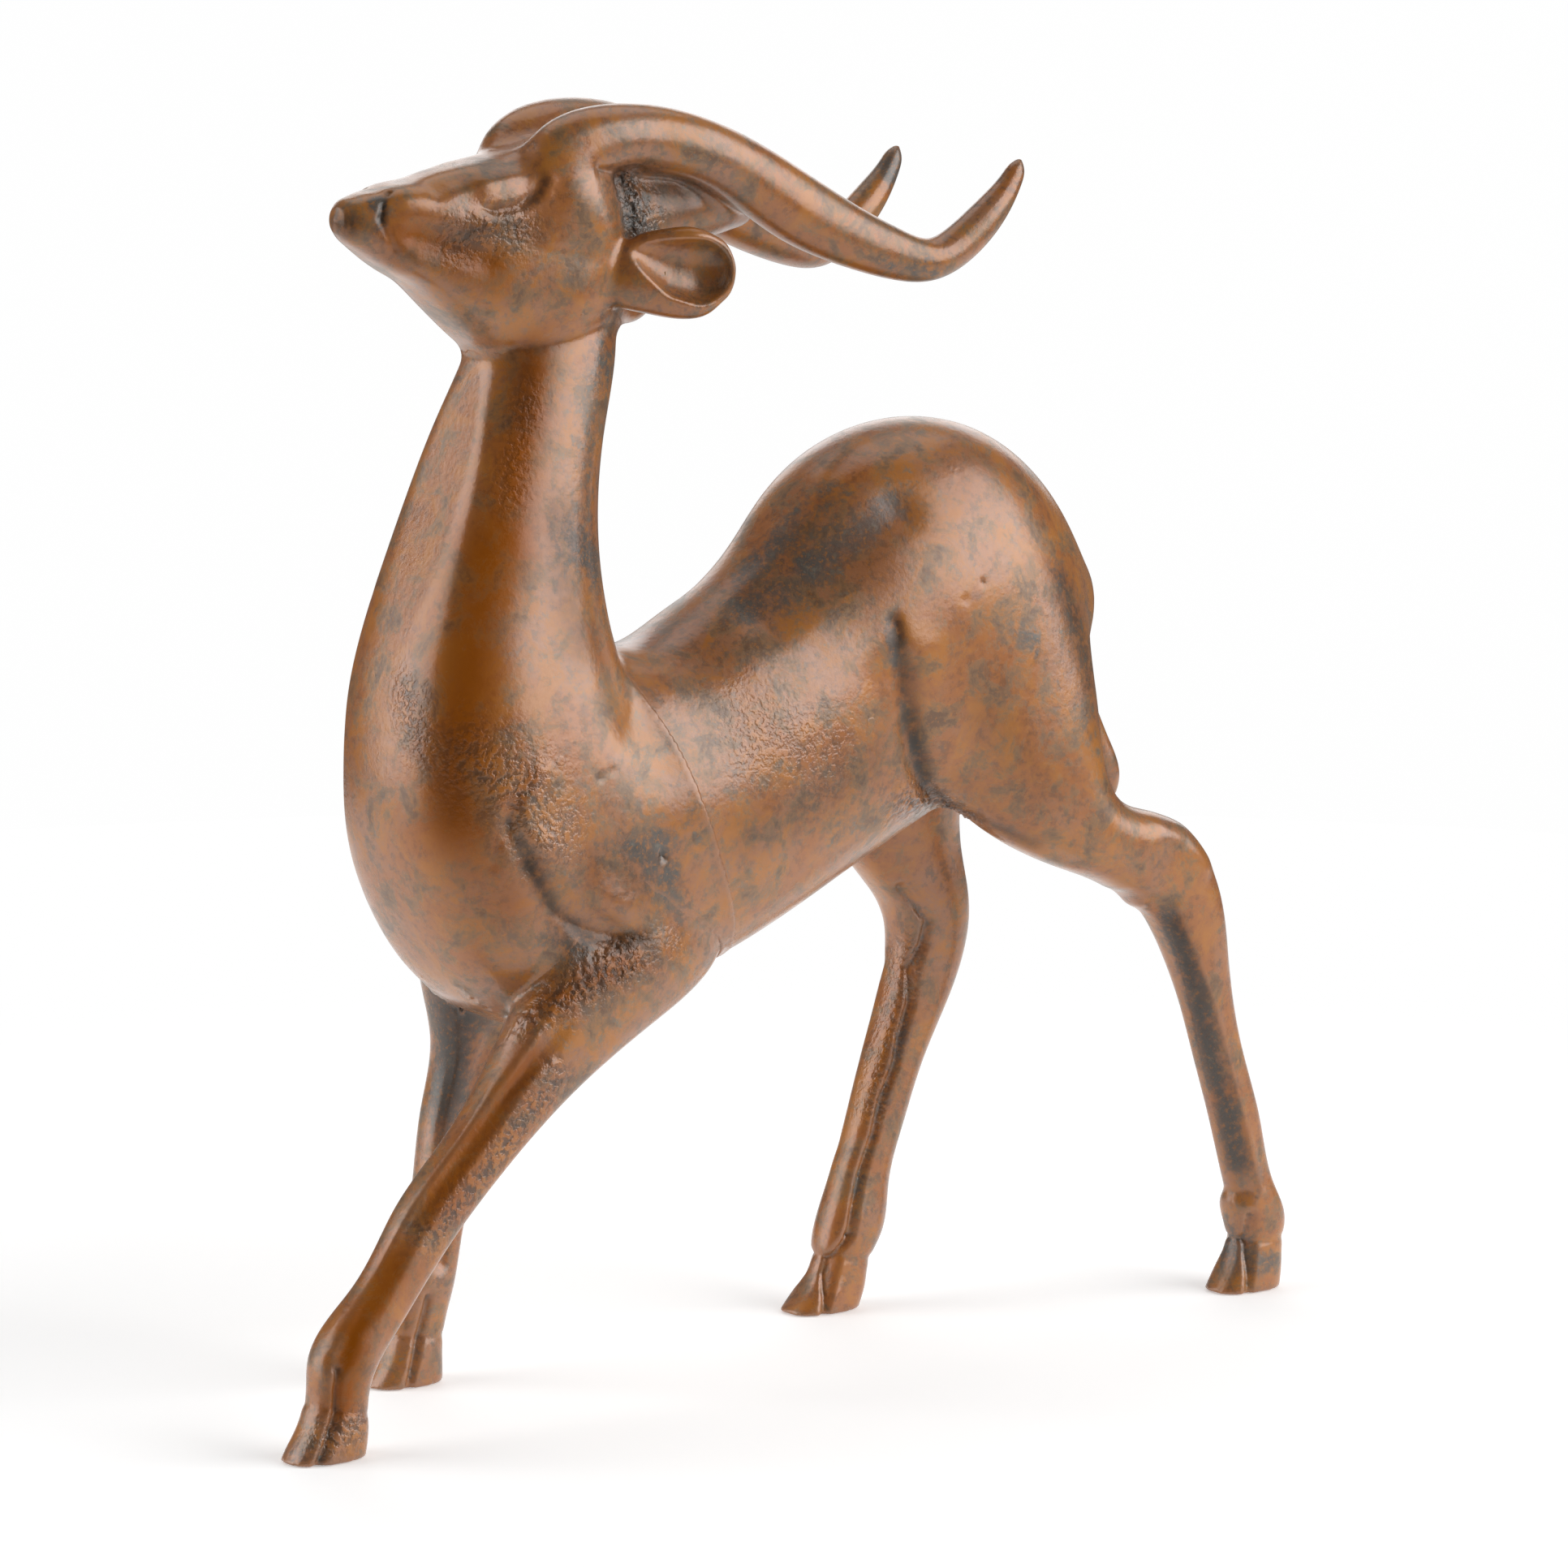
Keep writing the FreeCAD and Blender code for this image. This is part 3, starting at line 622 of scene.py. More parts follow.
def smoothed(points, start, end, links, amount):
    """Every point moved towards the middle of its neighbours."""
    middle = np.stack([np.bincount(start, points[end, k], len(points)) for k in range(3)], 1)
    return points + amount * (middle / links[:, None] - points)


def point_normals(points, quads):
    a, b, c, d = (points[quads[:, k]] for k in range(4))
    across = np.cross(c - a, d - b)
    total = np.zeros_like(points)
    for corner in range(4):
        for k in range(3):
            total[:, k] += np.bincount(quads[:, corner], across[:, k], len(points))
    return total / np.maximum(np.linalg.norm(total, axis=1, keepdims=True), 1e-12)


def largest_piece(points, quads):
    """Drop crumbs that aren't joined to the main surface."""
    label = np.arange(len(points))
    start, end = quads.ravel(), np.roll(quads, -1, 1).ravel()
    while True:
        low = np.minimum(label[start], label[end])
        fresh = label.copy()
        np.minimum.at(fresh, label[start], low)
        np.minimum.at(fresh, label[end], low)
        fresh = fresh[fresh]
        if np.array_equal(fresh, label):
            break
        label = fresh
    names, counts = np.unique(label[quads[:, 0]], return_counts=True)
    quads = quads[label[quads[:, 0]] == names[np.argmax(counts)]]
    used, renamed = np.unique(quads, return_inverse=True)
    return points[used], renamed.reshape(quads.shape)


def surface(window, field, rounds=5):
    """The smooth zero surface of a field, as points and quads."""
    field = field.copy()
    for k in range(3):
        edge = [slice(None)] * 3
        for end in (0, -1):
            edge[k] = end
            field[tuple(edge)] = np.maximum(field[tuple(edge)], 0.5 * window.pitch)
    grid = openvdb.FloatGrid(float(BAND))
    grid.copyFromArray(field.astype(np.float32), ijk=window.first, tolerance=0.0)
    grid.transform = openvdb.createLinearTransform(voxelSize=window.pitch)
    points, quads = grid.convertToQuads(isovalue=0.0)[:2]
    points, quads = largest_piece(points.astype(float), quads.astype(np.int64))
    edges = neighbours(points, quads)
    for _ in range(rounds):
        points = smoothed(smoothed(points, *edges, 0.5), *edges, -0.52)
    points[:, 2] = np.maximum(points[:, 2], 0)
    a, b, c, d = (points[quads[:, k]] for k in range(4))
    if (a * (np.cross(b, c) + np.cross(c, d))).sum() < 0:       # the volume, six times
        quads = quads[:, ::-1]
    return points, quads


def ridges(points, quads):
    """How far each point stands proud of the surface around it, in millimetres."""
    edges = neighbours(points, quads)
    flat = points
    for _ in range(10):
        flat = smoothed(flat, *edges, 0.7)
    return np.einsum("ij,ij->i", points - flat, point_normals(points, quads))


# Where the patina is darker (slate): (points, radius, strength)
SLATE = [
    ([(69, -22, 294), (63, -22, 288)], 5, 1.0),
    ([(69, 22, 294), (63, 22, 288)], 5, 1.0),
    ([(60, -22, 284), (40, -21, 272)], 4, 0.35),
    ([(-77, 18, 96), (-77, 18, 70)], 8, 1.0),
    ([(111, -30, 100), (119, -29, 85), (128, -29, 60), (136, -29, 34)], 4.2, 1.0),
    ([(-50, -30, 138), (-44, -28, 120)], 7, 0.6),
    ([(-60, -29, 138), (-54, -29, 132)], 5, 0.7),
    ([(-80, -30, 118), (-72, -30, 114)], 5, 0.7),
    ([(-40, -28, 146), (-37, -28, 138)], 4, 0.6),
    ([(76, -28, 190), (82, -27, 170), (80, -27, 155)], 6, 0.65),
    ([(60, -31, 178), (68, -30, 172)], 6, 0.4),
    ([(-70, -20, 212), (-60, -17, 206)], 6, 0.75),
    ([(-56, -12, 250), (-60, -16, 228), (-60, -19, 208), (-56, -22, 192)], 6, 0.5),
    ([(-52, -13, 262), (-48, -12, 250)], 6, 0.5),
    ([(-74, -33, 108), (-66, -33, 106)], 5, 0.5),
    ([(-10, -14, 188), (10, -17, 198), (28, -20, 210)], 7, 0.75),
    ([(22, -29, 184), (24.5, -30, 171), (29, -29, 156), (38, -22, 142)], 2.2, 0.8),
    ([(-95, -26, 142), (-90, -27, 138)], 4, 0.5),
    ([(-145, -28, 24), (-146, -28, 12)], 5, 0.4),
    ([(-156, -25, 4), (-150, -29, 1)], 4, 0.7),
    ([(138, -24, 12), (144, -26, 6)], 7, 0.75),
    ([(50, 21, 14), (42, 21, 4)], 5, 0.45),
    ([(-84, 22, 10), (-86, 22, 3)], 6, 0.45),
    ([(-76, 20, 60), (-79, 20, 34)], 5, 0.5),
    ([(70, 18, 98), (64, 18, 68), (50, 18, 30)], 3, 0.55),
    ([(-44, -9, 292), (-42, -12, 284)], 6, 0.8),
    ([(-42, -18, 268), (-34, -22, 266)], 6, 0.5),
    ([(-113, -6, 292), (-113, -6, 286)], 2.5, 0.9),
    ([(26, -22, 271), (40, -23, 270)], 5, 0.6),
    ([(-8, -6, 196), (6, -7, 204), (20, -9, 212)], 6, 0.7),
    ([(5, -30, 128), (20, -28, 140)], 8, 0.35),
    ([(-60, 24, 150), (-70, 24, 120)], 9, 0.5),
    ([(40, 30, 190), (60, 30, 170)], 9, 0.5),
    ([(0, 28, 150), (-20, 26, 130)], 8, 0.4),
]
# Where the patina is more golden, and where a dark band is painted as shade and dark reflection down the
# neck, breast and near foreleg: (points, radius, strength)
GOLD_AND_SHADE = [
    ([(-72.4, -11, 254), (-75.4, -13.4, 243), (-79.2, -15.1, 231.6), (-83.1, -16.6, 220.5),
      (-88.4, -17.9, 207.6)], 6.5, 1.0),
    ([(-88.4, -17.9, 207.6), (-94, -18.9, 194.7), (-98.7, -20.4, 179.8), (-101.7, -21.1, 162.8),
      (-102.5, -21, 147.3)], 9, 1.0),
    ([(-98, -24, 140), (-92, -26, 128)], 9, 0.5),
    ([(-106, -9, 284), (-94, -11, 280), (-84, -13, 276)], 6, 0.8),
    ([(-88, -30, 90), (-104, -31, 72), (-118, -31, 56)], 5, 0.8),
    ([(-128, -31, 45), (-140, -31, 30), (-144, -31, 14)], 5, 1.0),
    ([(-86, -31, 102), (-66, -32, 108), (-48, -26, 112)], 5, 0.8),
    ([(-40, -24, 274), (-28, -25, 272)], 5, 0.4),
    ([(64, 17, 90), (58, 17, 56)], 4, 0.4),
    ([(-94, 17, 195), (-102, 18, 165), (-104, 18, 148)], 11, 0.7),
    ([(20, -28, 200), (40, -28, 215), (60, -24, 222)], 10, 0.35),
]

# Where the cast skin was left coarse
ROUGH = [
    ([(-98, -22, 162), (-88, -28, 154), (-82, -29, 142)], 9, 0.8),
    ([(-109, -9, 178), (-106, -13, 165)], 5, 0.8),
    ([(-94, -12, 283), (-80, -14.5, 285)], 6, 0.8),
    ([(-18, -29, 160), (2, -30, 152)], 12, 0.45),
    ([(-82, -32, 84), (-100, -31, 66), (-118, -30, 50)], 4.5, 1.0),
    ([(-88, -31, 101), (-70, -33, 107), (-48, -26, 112)], 6, 1.0),
    ([(30, -24, 139), (50, -19, 133)], 6, 1.0),
    ([(-148, -31, 6), (-140, -31, 8)], 5, 0.9),
    ([(-44, -12, 290), (-38, -12, 282)], 6, 0.9),
    ([(66, 20, 90), (56, 20, 50)], 5, 0.5),
    ([(-84, -15, 222), (-76, -12, 244)], 6, 0.4),
    ([(-96, 22, 150), (-80, 29, 140)], 10, 0.8),
    ([(10, 30, 165), (30, 30, 180)], 12, 0.6),
]

# Painted shade in the creases and hollows, under the horn and jaw and on the lower parts of the body,
# with dirt and dark wax lying in them too
SHADE_AND_DIRT = [
    ([(-89, -29, 141), (-86, -30, 135.5), (-81, -31, 129)], 1.7, 0.5),
    ([(-87, -28.5, 136), (-83.5, -28.4, 131), (-79, -28.2, 124), (-70, -28.8, 117.2),
      (-62, -30, 114.8), (-54, -30.5, 115)], 2.2, 0.9),
    ([(-78, -29, 116.5), (-71, -29.5, 116)], 3.8, 0.5),
    ([(-90, -28, 99), (-80, -33, 106.5), (-70, -33.5, 111), (-60, -31.5, 113.5)], 1.8, 0.85),
    ([(-92, -14, 94), (-87, -20, 95.5), (-84, -25, 98)], 1.8, 0.7),
    ([(24, -29, 184), (25.2, -30, 176), (27, -30, 166), (30, -29.5, 157), (33, -28, 148)], 2.2, 0.85),
    ([(28, -29.5, 160), (32, -28, 150), (38, -24, 141.5), (46, -20, 135.5), (56, -26, 129),
      (68, -30, 123)], 2.4, 0.8),
    ([(-46, -11, 296), (-44.5, -13, 290), (-44, -13.5, 282), (-45, -13.5, 272)], 2.2, 0.7),
    ([(-106, -9, 281), (-96, -11.5, 279), (-88, -13, 277.5)], 3.5, 0.2),
    ([(-72.5, -14.4, 300), (-71.4, -15, 296), (-73.4, -14.8, 292.4), (-78, -14, 290.4),
      (-84, -12.8, 290)], 1.3, 0.75),
    ([(-85, -11, 300.5), (-78, -12, 301.5)], 2.2, 0.5),
    ([(-109, -5, 294.4), (-112, -6.6, 291.4), (-112.6, -7.4, 288)], 1.2, 0.8),
    ([(-92, -12, 284.5), (-84, -13.8, 286), (-76, -15.2, 284)], 3.6, 0.55),
    ([(-76, -10, 256), (-70, -13, 256), (-61, -15, 257.5)], 1.6, 0.5),
    ([(-75, -13, 252), (-78, -14.6, 240)], 4, 0.45),
    ([(-104, -20, 165), (-103, -21, 150)], 5, 0.3),
    ([(-110, -14, 180), (-108, -16, 160)], 2.2, 0.4),
    ([(-68, -31, 133), (-56, -29.5, 127)], 6.5, 0.4),
    ([(78, -28, 186), (84, -27, 168), (83, -27, 152)], 6, 0.5),
    ([(-71, -21, 216), (-70, -22, 200), (-67, -24, 188)], 7, 0.45),
    ([(-22, -30, 137), (0, -30, 142), (16, -29, 149)], 7, 0.3),
    ([(52, -32, 160), (60, -33, 149), (66, -33, 139)], 8, 0.25),
    ([(-77, 16, 102), (-77, 18, 70)], 8, 0.4),
    ([(113, -31, 99), (119, -30, 85), (128, -30, 60), (136, -30, 34)], 3.4, 0.7),
    ([(-121.5, -1, 289), (-120, -4, 287)], 3.4, 0.8),
    ([(-90, -10, 296.5), (-80, -12, 298.5)], 3.2, 0.35),
    ([(-44, -10, 294), (-36, -10, 290), (-26, -10, 288)], 4, 0.6),
]

# The stains, and the shade that is painted on as streaks
STAINS_AND_SHADE = {"slate": SLATE, "gold_and_shade": GOLD_AND_SHADE, "rough": ROUGH, "dirt": SHADE_AND_DIRT}


def soft_streaks(points, lines):
    """Soft streaks, 0 to 1, at the points."""
    total = np.zeros(len(points))
    for line, radius, strength in lines:
        square = squared_distance(np.array(line, float), *points.T)
        total = 1 - (1 - total) * (1 - strength * np.exp(-square / radius ** 2))
    return total


def mesh_object(name, points, quads):
    """A Blender object from points in millimetres, with what its patina and its painted shade depend on.
    """
    mesh = bpy.data.meshes.new(name)
    mesh.vertices.add(len(points))
    mesh.vertices.foreach_set("co", (points * MM).astype(np.float32).ravel())
    mesh.loops.add(quads.size)
    mesh.loops.foreach_set("vertex_index", quads.astype(np.int32).ravel())
    mesh.polygons.add(len(quads))
    mesh.polygons.foreach_set("loop_start", np.arange(0, quads.size, 4, dtype=np.int32))
    mesh.update(calc_edges=True)
    mesh.polygons.foreach_set("use_smooth", np.ones(len(quads), bool))
    values = {label: soft_streaks(points, lines) for label, lines in STAINS_AND_SHADE.items()}
    values["proud"] = ridges(points, quads)
    for label, value in values.items():
        mesh.attributes.new(label, "FLOAT", "POINT").data.foreach_set("value", value.astype(np.float32))
    made = bpy.data.objects.new(name, mesh)
    bpy.context.scene.collection.objects.link(made)
    return made


def casting(window, field, share):
    """A field cut off where share, the distance into the neighbours, passes the overlap."""
    under = np.clip(share / OVERLAP, 0, 1)
    return np.maximum(field + SINK * under * under, share - OVERLAP)


def disc_field(window, centre, axis, radius):
    """A cylinder along an axis (0 to 2), endless."""
    grid = window.coordinates()
    flat = [k for k in range(3) if k != axis]
    gap = sum((grid[k] - centre[k]) ** 2 for k in flat)
    return np.sqrt(gap) - radius


LIP_HEIGHT = 0.9
PLUG_RADIUS, PLUG_DEPTH, PLUG_Z = 1.6, 24, 160
PATCH_RADIUS, PATCH_X, PATCH_TOP = 9.0, -4, 119
PLUG_X = {"neck_and_chest": ("chest", -78.0), "barrel": ("flank", 16.0)}

# The box and the grid pitch of each casting.  Horns and ears are mirrored for the right side.
WINDOWS = {
    "neck_and_chest": ((-118, -37, 84), (-12, 37, 272), PITCH_BODY),
    "barrel": ((-64, -37, 90), (105, 37, 236), PITCH_BODY),
    "head": ((-126, -20, 246), (12, 20, 318), PITCH_HEAD),
    "horn_left": ((-80, -32, 262), (74, 1.5, 319), PITCH_HEAD),
    "ear_left": ((-58, -34, 257), (-16, -5, 286), PITCH_FINE),
    "hind_leg_left": ((18, -38, -1), (160, 6, 222), PITCH_LEG),
    "hind_leg_right": ((18, -6, -1), (104, 38, 222), PITCH_LEG),
    "foreleg_left": ((-162, -40, -1), (-12, 2, 150), PITCH_LEG),
    "foreleg_right": ((-102, -2, -1), (-38, 38, 150), PITCH_LEG),
    "tail": ((86, -9, 122), (124, 9, 182), PITCH_FINE),
}

sculpted = {}
for piece, (low, high, pitch) in WINDOWS.items():
    window = Window(low, high, pitch)
    x, y, z = window.coordinates()
    field = body_field(window)
    trunk = np.minimum(neck.depth(window), barrel.depth(window))
    if piece in ("neck_and_chest", "barrel"):
        seam = (x - seam_x(window.axes[2])[None, None, :]).astype(np.float32)
        share = 0.8 * (seam if piece == "neck_and_chest" else -seam)
        for form in [*legs.values(), head if piece == "neck_and_chest" else tail]:
            share = np.maximum(share, 0.5 * (trunk - form.depth(window)))
        if piece == "neck_and_chest":
            # The chest's edge stands proud of the barrel, but not at the spine or the breastbone
            lip = np.exp(np.minimum(seam, 0) / 7) * np.clip((190 - z) / 20, 0, 1) \
                * np.clip((z - 96) / 8, 0, 1)
            field = field - LIP_HEIGHT * lip * np.clip((np.abs(y) - 8) / 10, 0, 1)
    elif piece == "head":
        skull = np.minimum(head.depth(window), poll.depth(window))
        share = 0.5 * (skull - neck.depth(window))
        for form in (horn_left, horn_right, ear_left, ear_right):
            share = np.maximum(share, 0.5 * (skull - form.depth(window)))
    elif piece in ("horn_left", "ear_left"):
        form, rival = (horn_left, ear_left) if piece == "horn_left" else (ear_left, horn_left)
        depth = form.depth(window)
        share = 0.5 * (depth - np.minimum(head.depth(window), poll.depth(window)))
        share = np.maximum(share, 0.5 * (depth - rival.depth(window)))
        if piece == "horn_left":
            share = np.maximum(share, y + 0.2)      # the two horns meet at the middle plane
    elif piece == "tail":
        share = 0.5 * (tail.depth(window) - barrel.depth(window))
    else:
        share = 0.5 * (legs[piece].depth(window) - trunk)
    sculpted[piece] = surface(window, casting(window, field, share))
    if piece.endswith("left") and not piece.startswith(("hind", "fore")):
        points, quads = sculpted[piece]
        sculpted[piece.replace("left", "right")] = (points * (1, -1, 1), quads[:, ::-1])
    if piece in PLUG_X:
        place, plug_x = PLUG_X[piece]
        inner = Window((plug_x - 3, -34, PLUG_Z - 3), (plug_x + 3, 34, PLUG_Z + 3), PITCH_FINE)
        skin = body_field(inner)
        for side, word in ((-1, "left"), (1, "right")):
            plug = np.maximum(skin - 0.04, disc_field(inner, (plug_x, 0, PLUG_Z), 1, PLUG_RADIUS))
            plug = np.maximum(plug, PLUG_DEPTH - side * inner.coordinates()[1])
            sculpted["core_plug_%s_%s" % (place, word)] = surface(inner, plug, rounds=2)
    if piece == "barrel":
        inner = Window((-15, -11, 96), (7, 11, 122), PITCH_FINE)
        plate = np.maximum(body_field(inner) - 0.1, disc_field(inner, (PATCH_X, 0, 0), 2, PATCH_RADIUS))
        plate = np.maximum(plate, inner.coordinates()[2] - PATCH_TOP)
        sculpted["core_patch"] = surface(inner, plate, rounds=2)

# ---------------------------------------------------------------- materials


class Tree:
    """The nodes of a material, around one Principled shader."""

    def __init__(self, name):
        self.material = bpy.data.materials.new(name)
        self.material.use_nodes = True
        self.nodes = self.material.node_tree.nodes
        self.nodes.clear()
        self.output = self.nodes.new("ShaderNodeOutputMaterial")
        self.shader = self.nodes.new("ShaderNodeBsdfPrincipled")
        self.give(self.output.inputs["Surface"], self.shader.outputs["BSDF"])
        self.where = self.nodes.new("ShaderNodeTexCoord").outputs["Object"]

    def give(self, socket, value):
        """A number, a colour or another node's output."""
        if isinstance(value, tuple):
            socket.default_value = value + (1.0,)
        elif isinstance(value, (int, float)):
            socket.default_value = value
        else:
            self.material.node_tree.links.new(value, socket)

    def look(self, **values):
        """Set the shader's sockets, with _ for the blanks in their names."""
        for name, value in values.items():
            self.give(self.shader.inputs[name.replace("_", " ")], value)

    def add(self, kind, sockets, **settings):
        """A new node's outputs."""
        made = self.nodes.new("ShaderNode" + kind)
        for name, value in settings.items():
            setattr(made, name, value)
        for name, value in sockets.items():
            self.give(made.inputs[name], value)
        return made.outputs

    def noise(self, scale, detail, rough, twist=0.0):
        return self.add("TexNoise", {"Vector": self.where, "Scale": scale, "Detail": detail,
                                     "Roughness": rough, "Distortion": twist})["Fac"]

    def ramp(self, value, low, high, start=0.0, end=1.0):
        return self.add("MapRange", {"Value": value, "From Min": low, "From Max": high,
                                     "To Min": start, "To Max": end},
                        interpolation_type="SMOOTHSTEP")["Result"]

    def mix(self, share, first, second):
        return self.add("Mix", {"Factor": share, "A": first, "B": second}, data_type="RGBA")["Result"]

    def maths(self, kind, first, second):
        return self.add("Math", {0: first, 1: second}, operation=kind)["Value"]

    def times(self, first, second):
        return self.maths("MULTIPLY", first, second)

    def plus(self, first, second):
        return self.maths("ADD", first, second)

    def attribute(self, name):
        return self.add("Attribute", {}, attribute_name=name)["Fac"]

    def bump(self, height, strength, distance):
        return self.add("Bump", {"Height": height, "Strength": strength, "Distance": distance})["Normal"]


WARM = (0.330, 0.107, 0.018)
AMBER = (0.390, 0.138, 0.013)
ROSE = (0.310, 0.135, 0.060)
SLATE_TONE = (0.066, 0.060, 0.052)
UMBER = (0.110, 0.042, 0.012)
OLIVE = (0.185, 0.110, 0.045)
VERDIGRIS = (0.165, 0.145, 0.105)
# Golden patina, darkened as painted shade for the dark band down the neck and breast
GOLD_SHADE_TONE = (0.250, 0.064, 0.0005)
# Near black: painted shade in the hollows and creases, dirt, and the dark pits of the rough skin
SOOT_AND_SHADE = (0.030, 0.020, 0.014)


def patina():
    t = Tree("bronze_patina")
    # The gold and dirt streaks carry painted shade as well as golden patina, dirt and wax
    proud, slate, gold_and_shade, rough, dirt = (
        t.attribute(name) for name in ("proud", "slate", "gold_and_shade", "rough", "dirt"))
    wide = t.noise(26, 6, 0.62, 0.5)
    cloud = t.noise(70, 7, 0.72, 0.6)
    drift = t.noise(105, 7, 0.74, 0.4)
    speck = t.noise(420, 4, 0.7)
    fleck = t.noise(1000, 3, 0.65)
    tone = t.mix(t.ramp(wide, 0.44, 0.58, 0.0, 0.9), WARM, ROSE)
    tone = t.mix(t.ramp(cloud, 0.46, 0.60, 0.0, 0.95), tone, AMBER)
    tone = t.mix(t.ramp(drift, 0.48, 0.60, 0.0, 0.8), tone, OLIVE)
    tone = t.mix(t.ramp(drift, 0.56, 0.66, 0.0, 0.8), tone, UMBER)
    # Slate blotches gather where the stain is, with ragged edges
    ragged = t.plus(t.times(cloud, 0.60), t.times(speck, 0.40))
    ragged = t.plus(ragged, t.times(slate, 0.33))
    blotch = t.ramp(ragged, 0.575, 0.78, 0.0, 0.95)
    tone = t.mix(blotch, tone, SLATE_TONE)
    freckle = t.times(t.ramp(speck, 0.52, 0.66), t.ramp(wide, 0.44, 0.58))
    tone = t.mix(t.times(freckle, 0.6), tone, VERDIGRIS)
    grime = t.times(t.ramp(speck, 0.47, 0.60), t.ramp(cloud, 0.58, 0.42))
    tone = t.mix(t.times(grime, 0.5), tone, UMBER)
    tone = t.mix(t.ramp(fleck, 0.53, 0.68, 0.0, 0.6), tone, AMBER)
    # The golden patina, with the dark band painted in as shade and dark reflection
    patchy = t.times(gold_and_shade, t.ramp(drift, 0.68, 0.46, 0.45, 1.0))
    tone = t.mix(patchy, tone, GOLD_SHADE_TONE)
    # Painted shade darkens the hollows and the creases listed above, with dark wax and dirt in them too,
    # and the ridges are rubbed
    hollow = t.ramp(proud, -0.04, -0.45)
    tone = t.mix(t.times(hollow, 0.85), tone, SOOT_AND_SHADE)
    dark_shade_and_dirt = t.times(dirt, t.ramp(speck, 0.36, 0.52, 0.6, 1.0))
    tone = t.mix(dark_shade_and_dirt, tone, SOOT_AND_SHADE)
    tone = t.mix(t.ramp(proud, 0.04, 0.25, 0.0, 0.5), tone, ROSE)
    # Cast skin: fine orange peel, coarse where the skin was left rough
    peel = t.noise(620, 3, 0.55)
    coarse = t.ramp(t.noise(720, 2, 0.5), 0.36, 0.62)
    pitted = t.times(t.maths("SUBTRACT", 1.0, coarse), t.times(rough, 0.8))
    height = t.plus(t.times(coarse, t.times(rough, 0.7)), t.times(peel, 0.2))
    skin = t.bump(t.plus(height, t.times(cloud, 0.3)), 0.6, 0.0005)
    # A waxed surface, matt where the golden band and the painted shade with its dirt lie
    waxed = t.maths("SUBTRACT", 1.0, t.times(t.maths("MAXIMUM", gold_and_shade, dirt), 0.8))
    t.look(Base_Color=t.mix(pitted, tone, SOOT_AND_SHADE),
           Metallic=0.2,
           Roughness=t.plus(t.ramp(cloud, 0.3, 0.7, 0.36, 0.50), t.times(blotch, 0.08)),
           Specular_IOR_Level=t.times(waxed, 0.3),
           Coat_Weight=t.times(waxed, 0.9),
           Coat_IOR=1.6,
           Coat_Roughness=t.ramp(drift, 0.35, 0.65, 0.18, 0.34),
           Normal=skin,
           Coat_Normal=skin)
    return t.material


def bare_bronze():
    t = Tree("bronze_bare")
    cloud = t.noise(120, 4, 0.6)
    t.look(Base_Color=t.mix(t.ramp(cloud, 0.35, 0.65), (0.42, 0.24, 0.09), (0.56, 0.35, 0.15)),
           Metallic=1.0,
           Roughness=t.ramp(cloud, 0.3, 0.7, 0.28, 0.46),
           Normal=t.bump(t.noise(900, 2, 0.5), 0.2, 0.0002))
    return t.material


bronze = patina()
bare = bare_bronze()

for name, (points, quads) in sculpted.items():
    made = mesh_object("cast_" + name, points, quads)
    made.data.materials.append(bronze)
    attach(made, "root")
    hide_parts(name)

for name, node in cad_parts.items():
    if name not in sculpted:
        node.data.materials.clear()
        node.data.materials.append(bare)

# ---------------------------------------------------------------- stage

AZIMUTH = math.radians(38.0)
ELEVATION = math.radians(9.5)
DISTANCE = 2.0
AIM = Vector((0.012, 0.0, 0.1413))
FOCAL = 186.3           # a 36 mm wide frame

toward = Vector((-math.sin(AZIMUTH) * math.cos(ELEVATION),
                 -math.cos(AZIMUTH) * math.cos(ELEVATION), math.sin(ELEVATION)))
camera_data = bpy.data.cameras.new("camera")
camera_data.lens = FOCAL
camera_data.sensor_width = 36.0
camera = bpy.data.objects.new("camera", camera_data)
camera.location = AIM + toward * DISTANCE
camera.rotation_mode = "QUATERNION"
camera.rotation_quaternion = (-toward).to_track_quat("-Z", "Y")
bpy.context.scene.collection.objects.link(camera)
bpy.context.scene.camera = camera


def stage_object(name, make, **sizes):
    """A floor or surround from one of bmesh's primitives."""
    shape = bmesh.new()
    make(shape, **sizes)
    mesh = bpy.data.meshes.new(name)
    shape.to_mesh(mesh)
    shape.free()
    made = bpy.data.objects.new(name, mesh)
    bpy.context.scene.collection.objects.link(made)
    return made


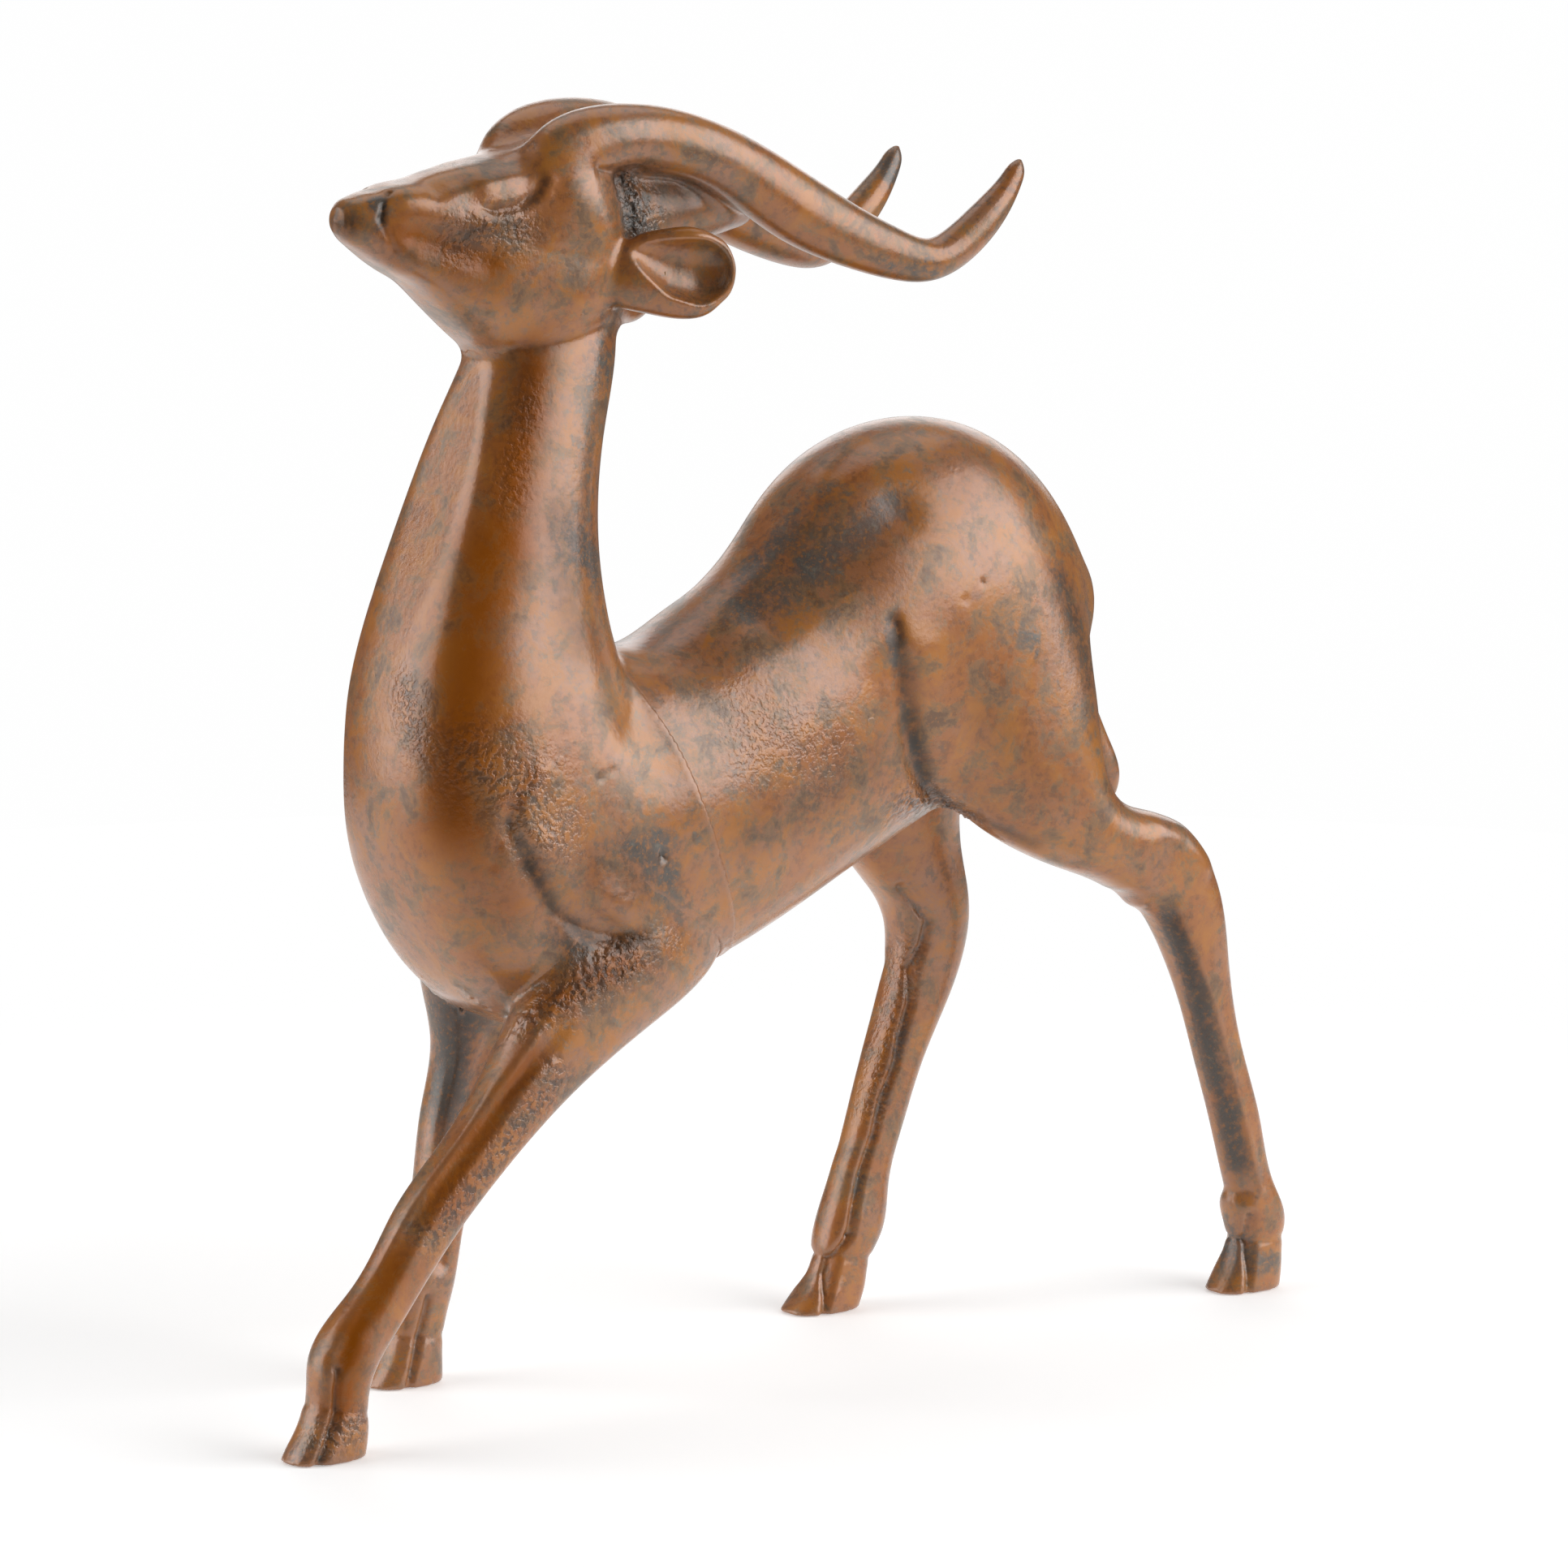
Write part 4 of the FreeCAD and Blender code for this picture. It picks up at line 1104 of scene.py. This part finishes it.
def floor_white():
    """Matt white by the figure, which brightens outwards until it meets the surround."""
    t = Tree("floor_white")
    t.look(Base_Color=t.mix(t.noise(3, 2, 0.5), (0.84, 0.84, 0.84), (0.82, 0.82, 0.82)),
           Roughness=0.7,
           Emission_Color=(1, 1, 1),
           Emission_Strength=0.34)
    reach = t.add("VectorMath", {0: t.where}, operation="LENGTH")["Value"]
    blend = t.add("MixShader", {"Fac": t.ramp(reach, 0.18, 0.5),
                                1: t.shader.outputs["BSDF"],
                                2: t.add("Emission", {"Color": (1, 1, 1)})["Emission"]})
    t.give(t.output.inputs["Surface"], blend["Shader"])
    return t.material


floor = stage_object("floor", bmesh.ops.create_circle, cap_ends=True, segments=96, radius=0.8)
floor.location.z = -0.0002
floor.data.materials.append(floor_white())


def softbox(name, bearing, height, distance, width, tall, power):
    """An area light that aims at the figure.  The bearing turns from the camera to its right."""
    a = AZIMUTH - math.radians(bearing)
    made = bpy.data.lights.new(name, "AREA")
    made.shape = "RECTANGLE"
    made.size = width
    made.size_y = tall
    made.energy = power
    light = bpy.data.objects.new(name, made)
    away = Vector((-math.sin(a), -math.cos(a), 0)) * distance
    light.location = Vector((0, 0, height)) + away
    light.rotation_mode = "QUATERNION"
    light.rotation_quaternion = (Vector((0, 0, 0.15)) - light.location).to_track_quat("-Z", "Y")
    bpy.context.scene.collection.objects.link(light)


# (name, bearing, height, distance, width, tall, watts)
softbox("softbox_right", 78, 0.75, 1.3, 1.4, 1.3, 21)
softbox("softbox_left", -82, 0.55, 1.3, 1.1, 1.3, 13)
softbox("softbox_top", 180, 1.5, 0.5, 1.4, 1.0, 4.5)
softbox("softbox_back", 180, 0.7, 1.6, 1.6, 0.8, 6)


def surround_white():
    t = Tree("surround_white")
    t.look(Base_Color=(0, 0, 0),
           Specular_IOR_Level=0,
           Emission_Color=t.mix(t.noise(0.2, 1, 0.5), (1.0, 1.0, 1.0), (0.99, 0.99, 0.99)),
           Emission_Strength=1.0)
    return t.material


# A white surround that only the camera sees
sky = stage_object("surround", bmesh.ops.create_uvsphere, u_segments=48, v_segments=24, radius=18.0)
sky.data.materials.append(surround_white())
sky.visible_diffuse = sky.visible_glossy = sky.visible_transmission = sky.visible_shadow = False
sky.visible_volume_scatter = False

world = bpy.data.worlds.new("studio")
bpy.context.scene.world = world
world.use_nodes = True
background = world.node_tree.nodes["Background"]
background.inputs["Color"].default_value = (1.0, 1.0, 1.0, 1.0)
background.inputs["Strength"].default_value = 0.12
bpy.context.scene.view_settings.view_transform = "Standard"
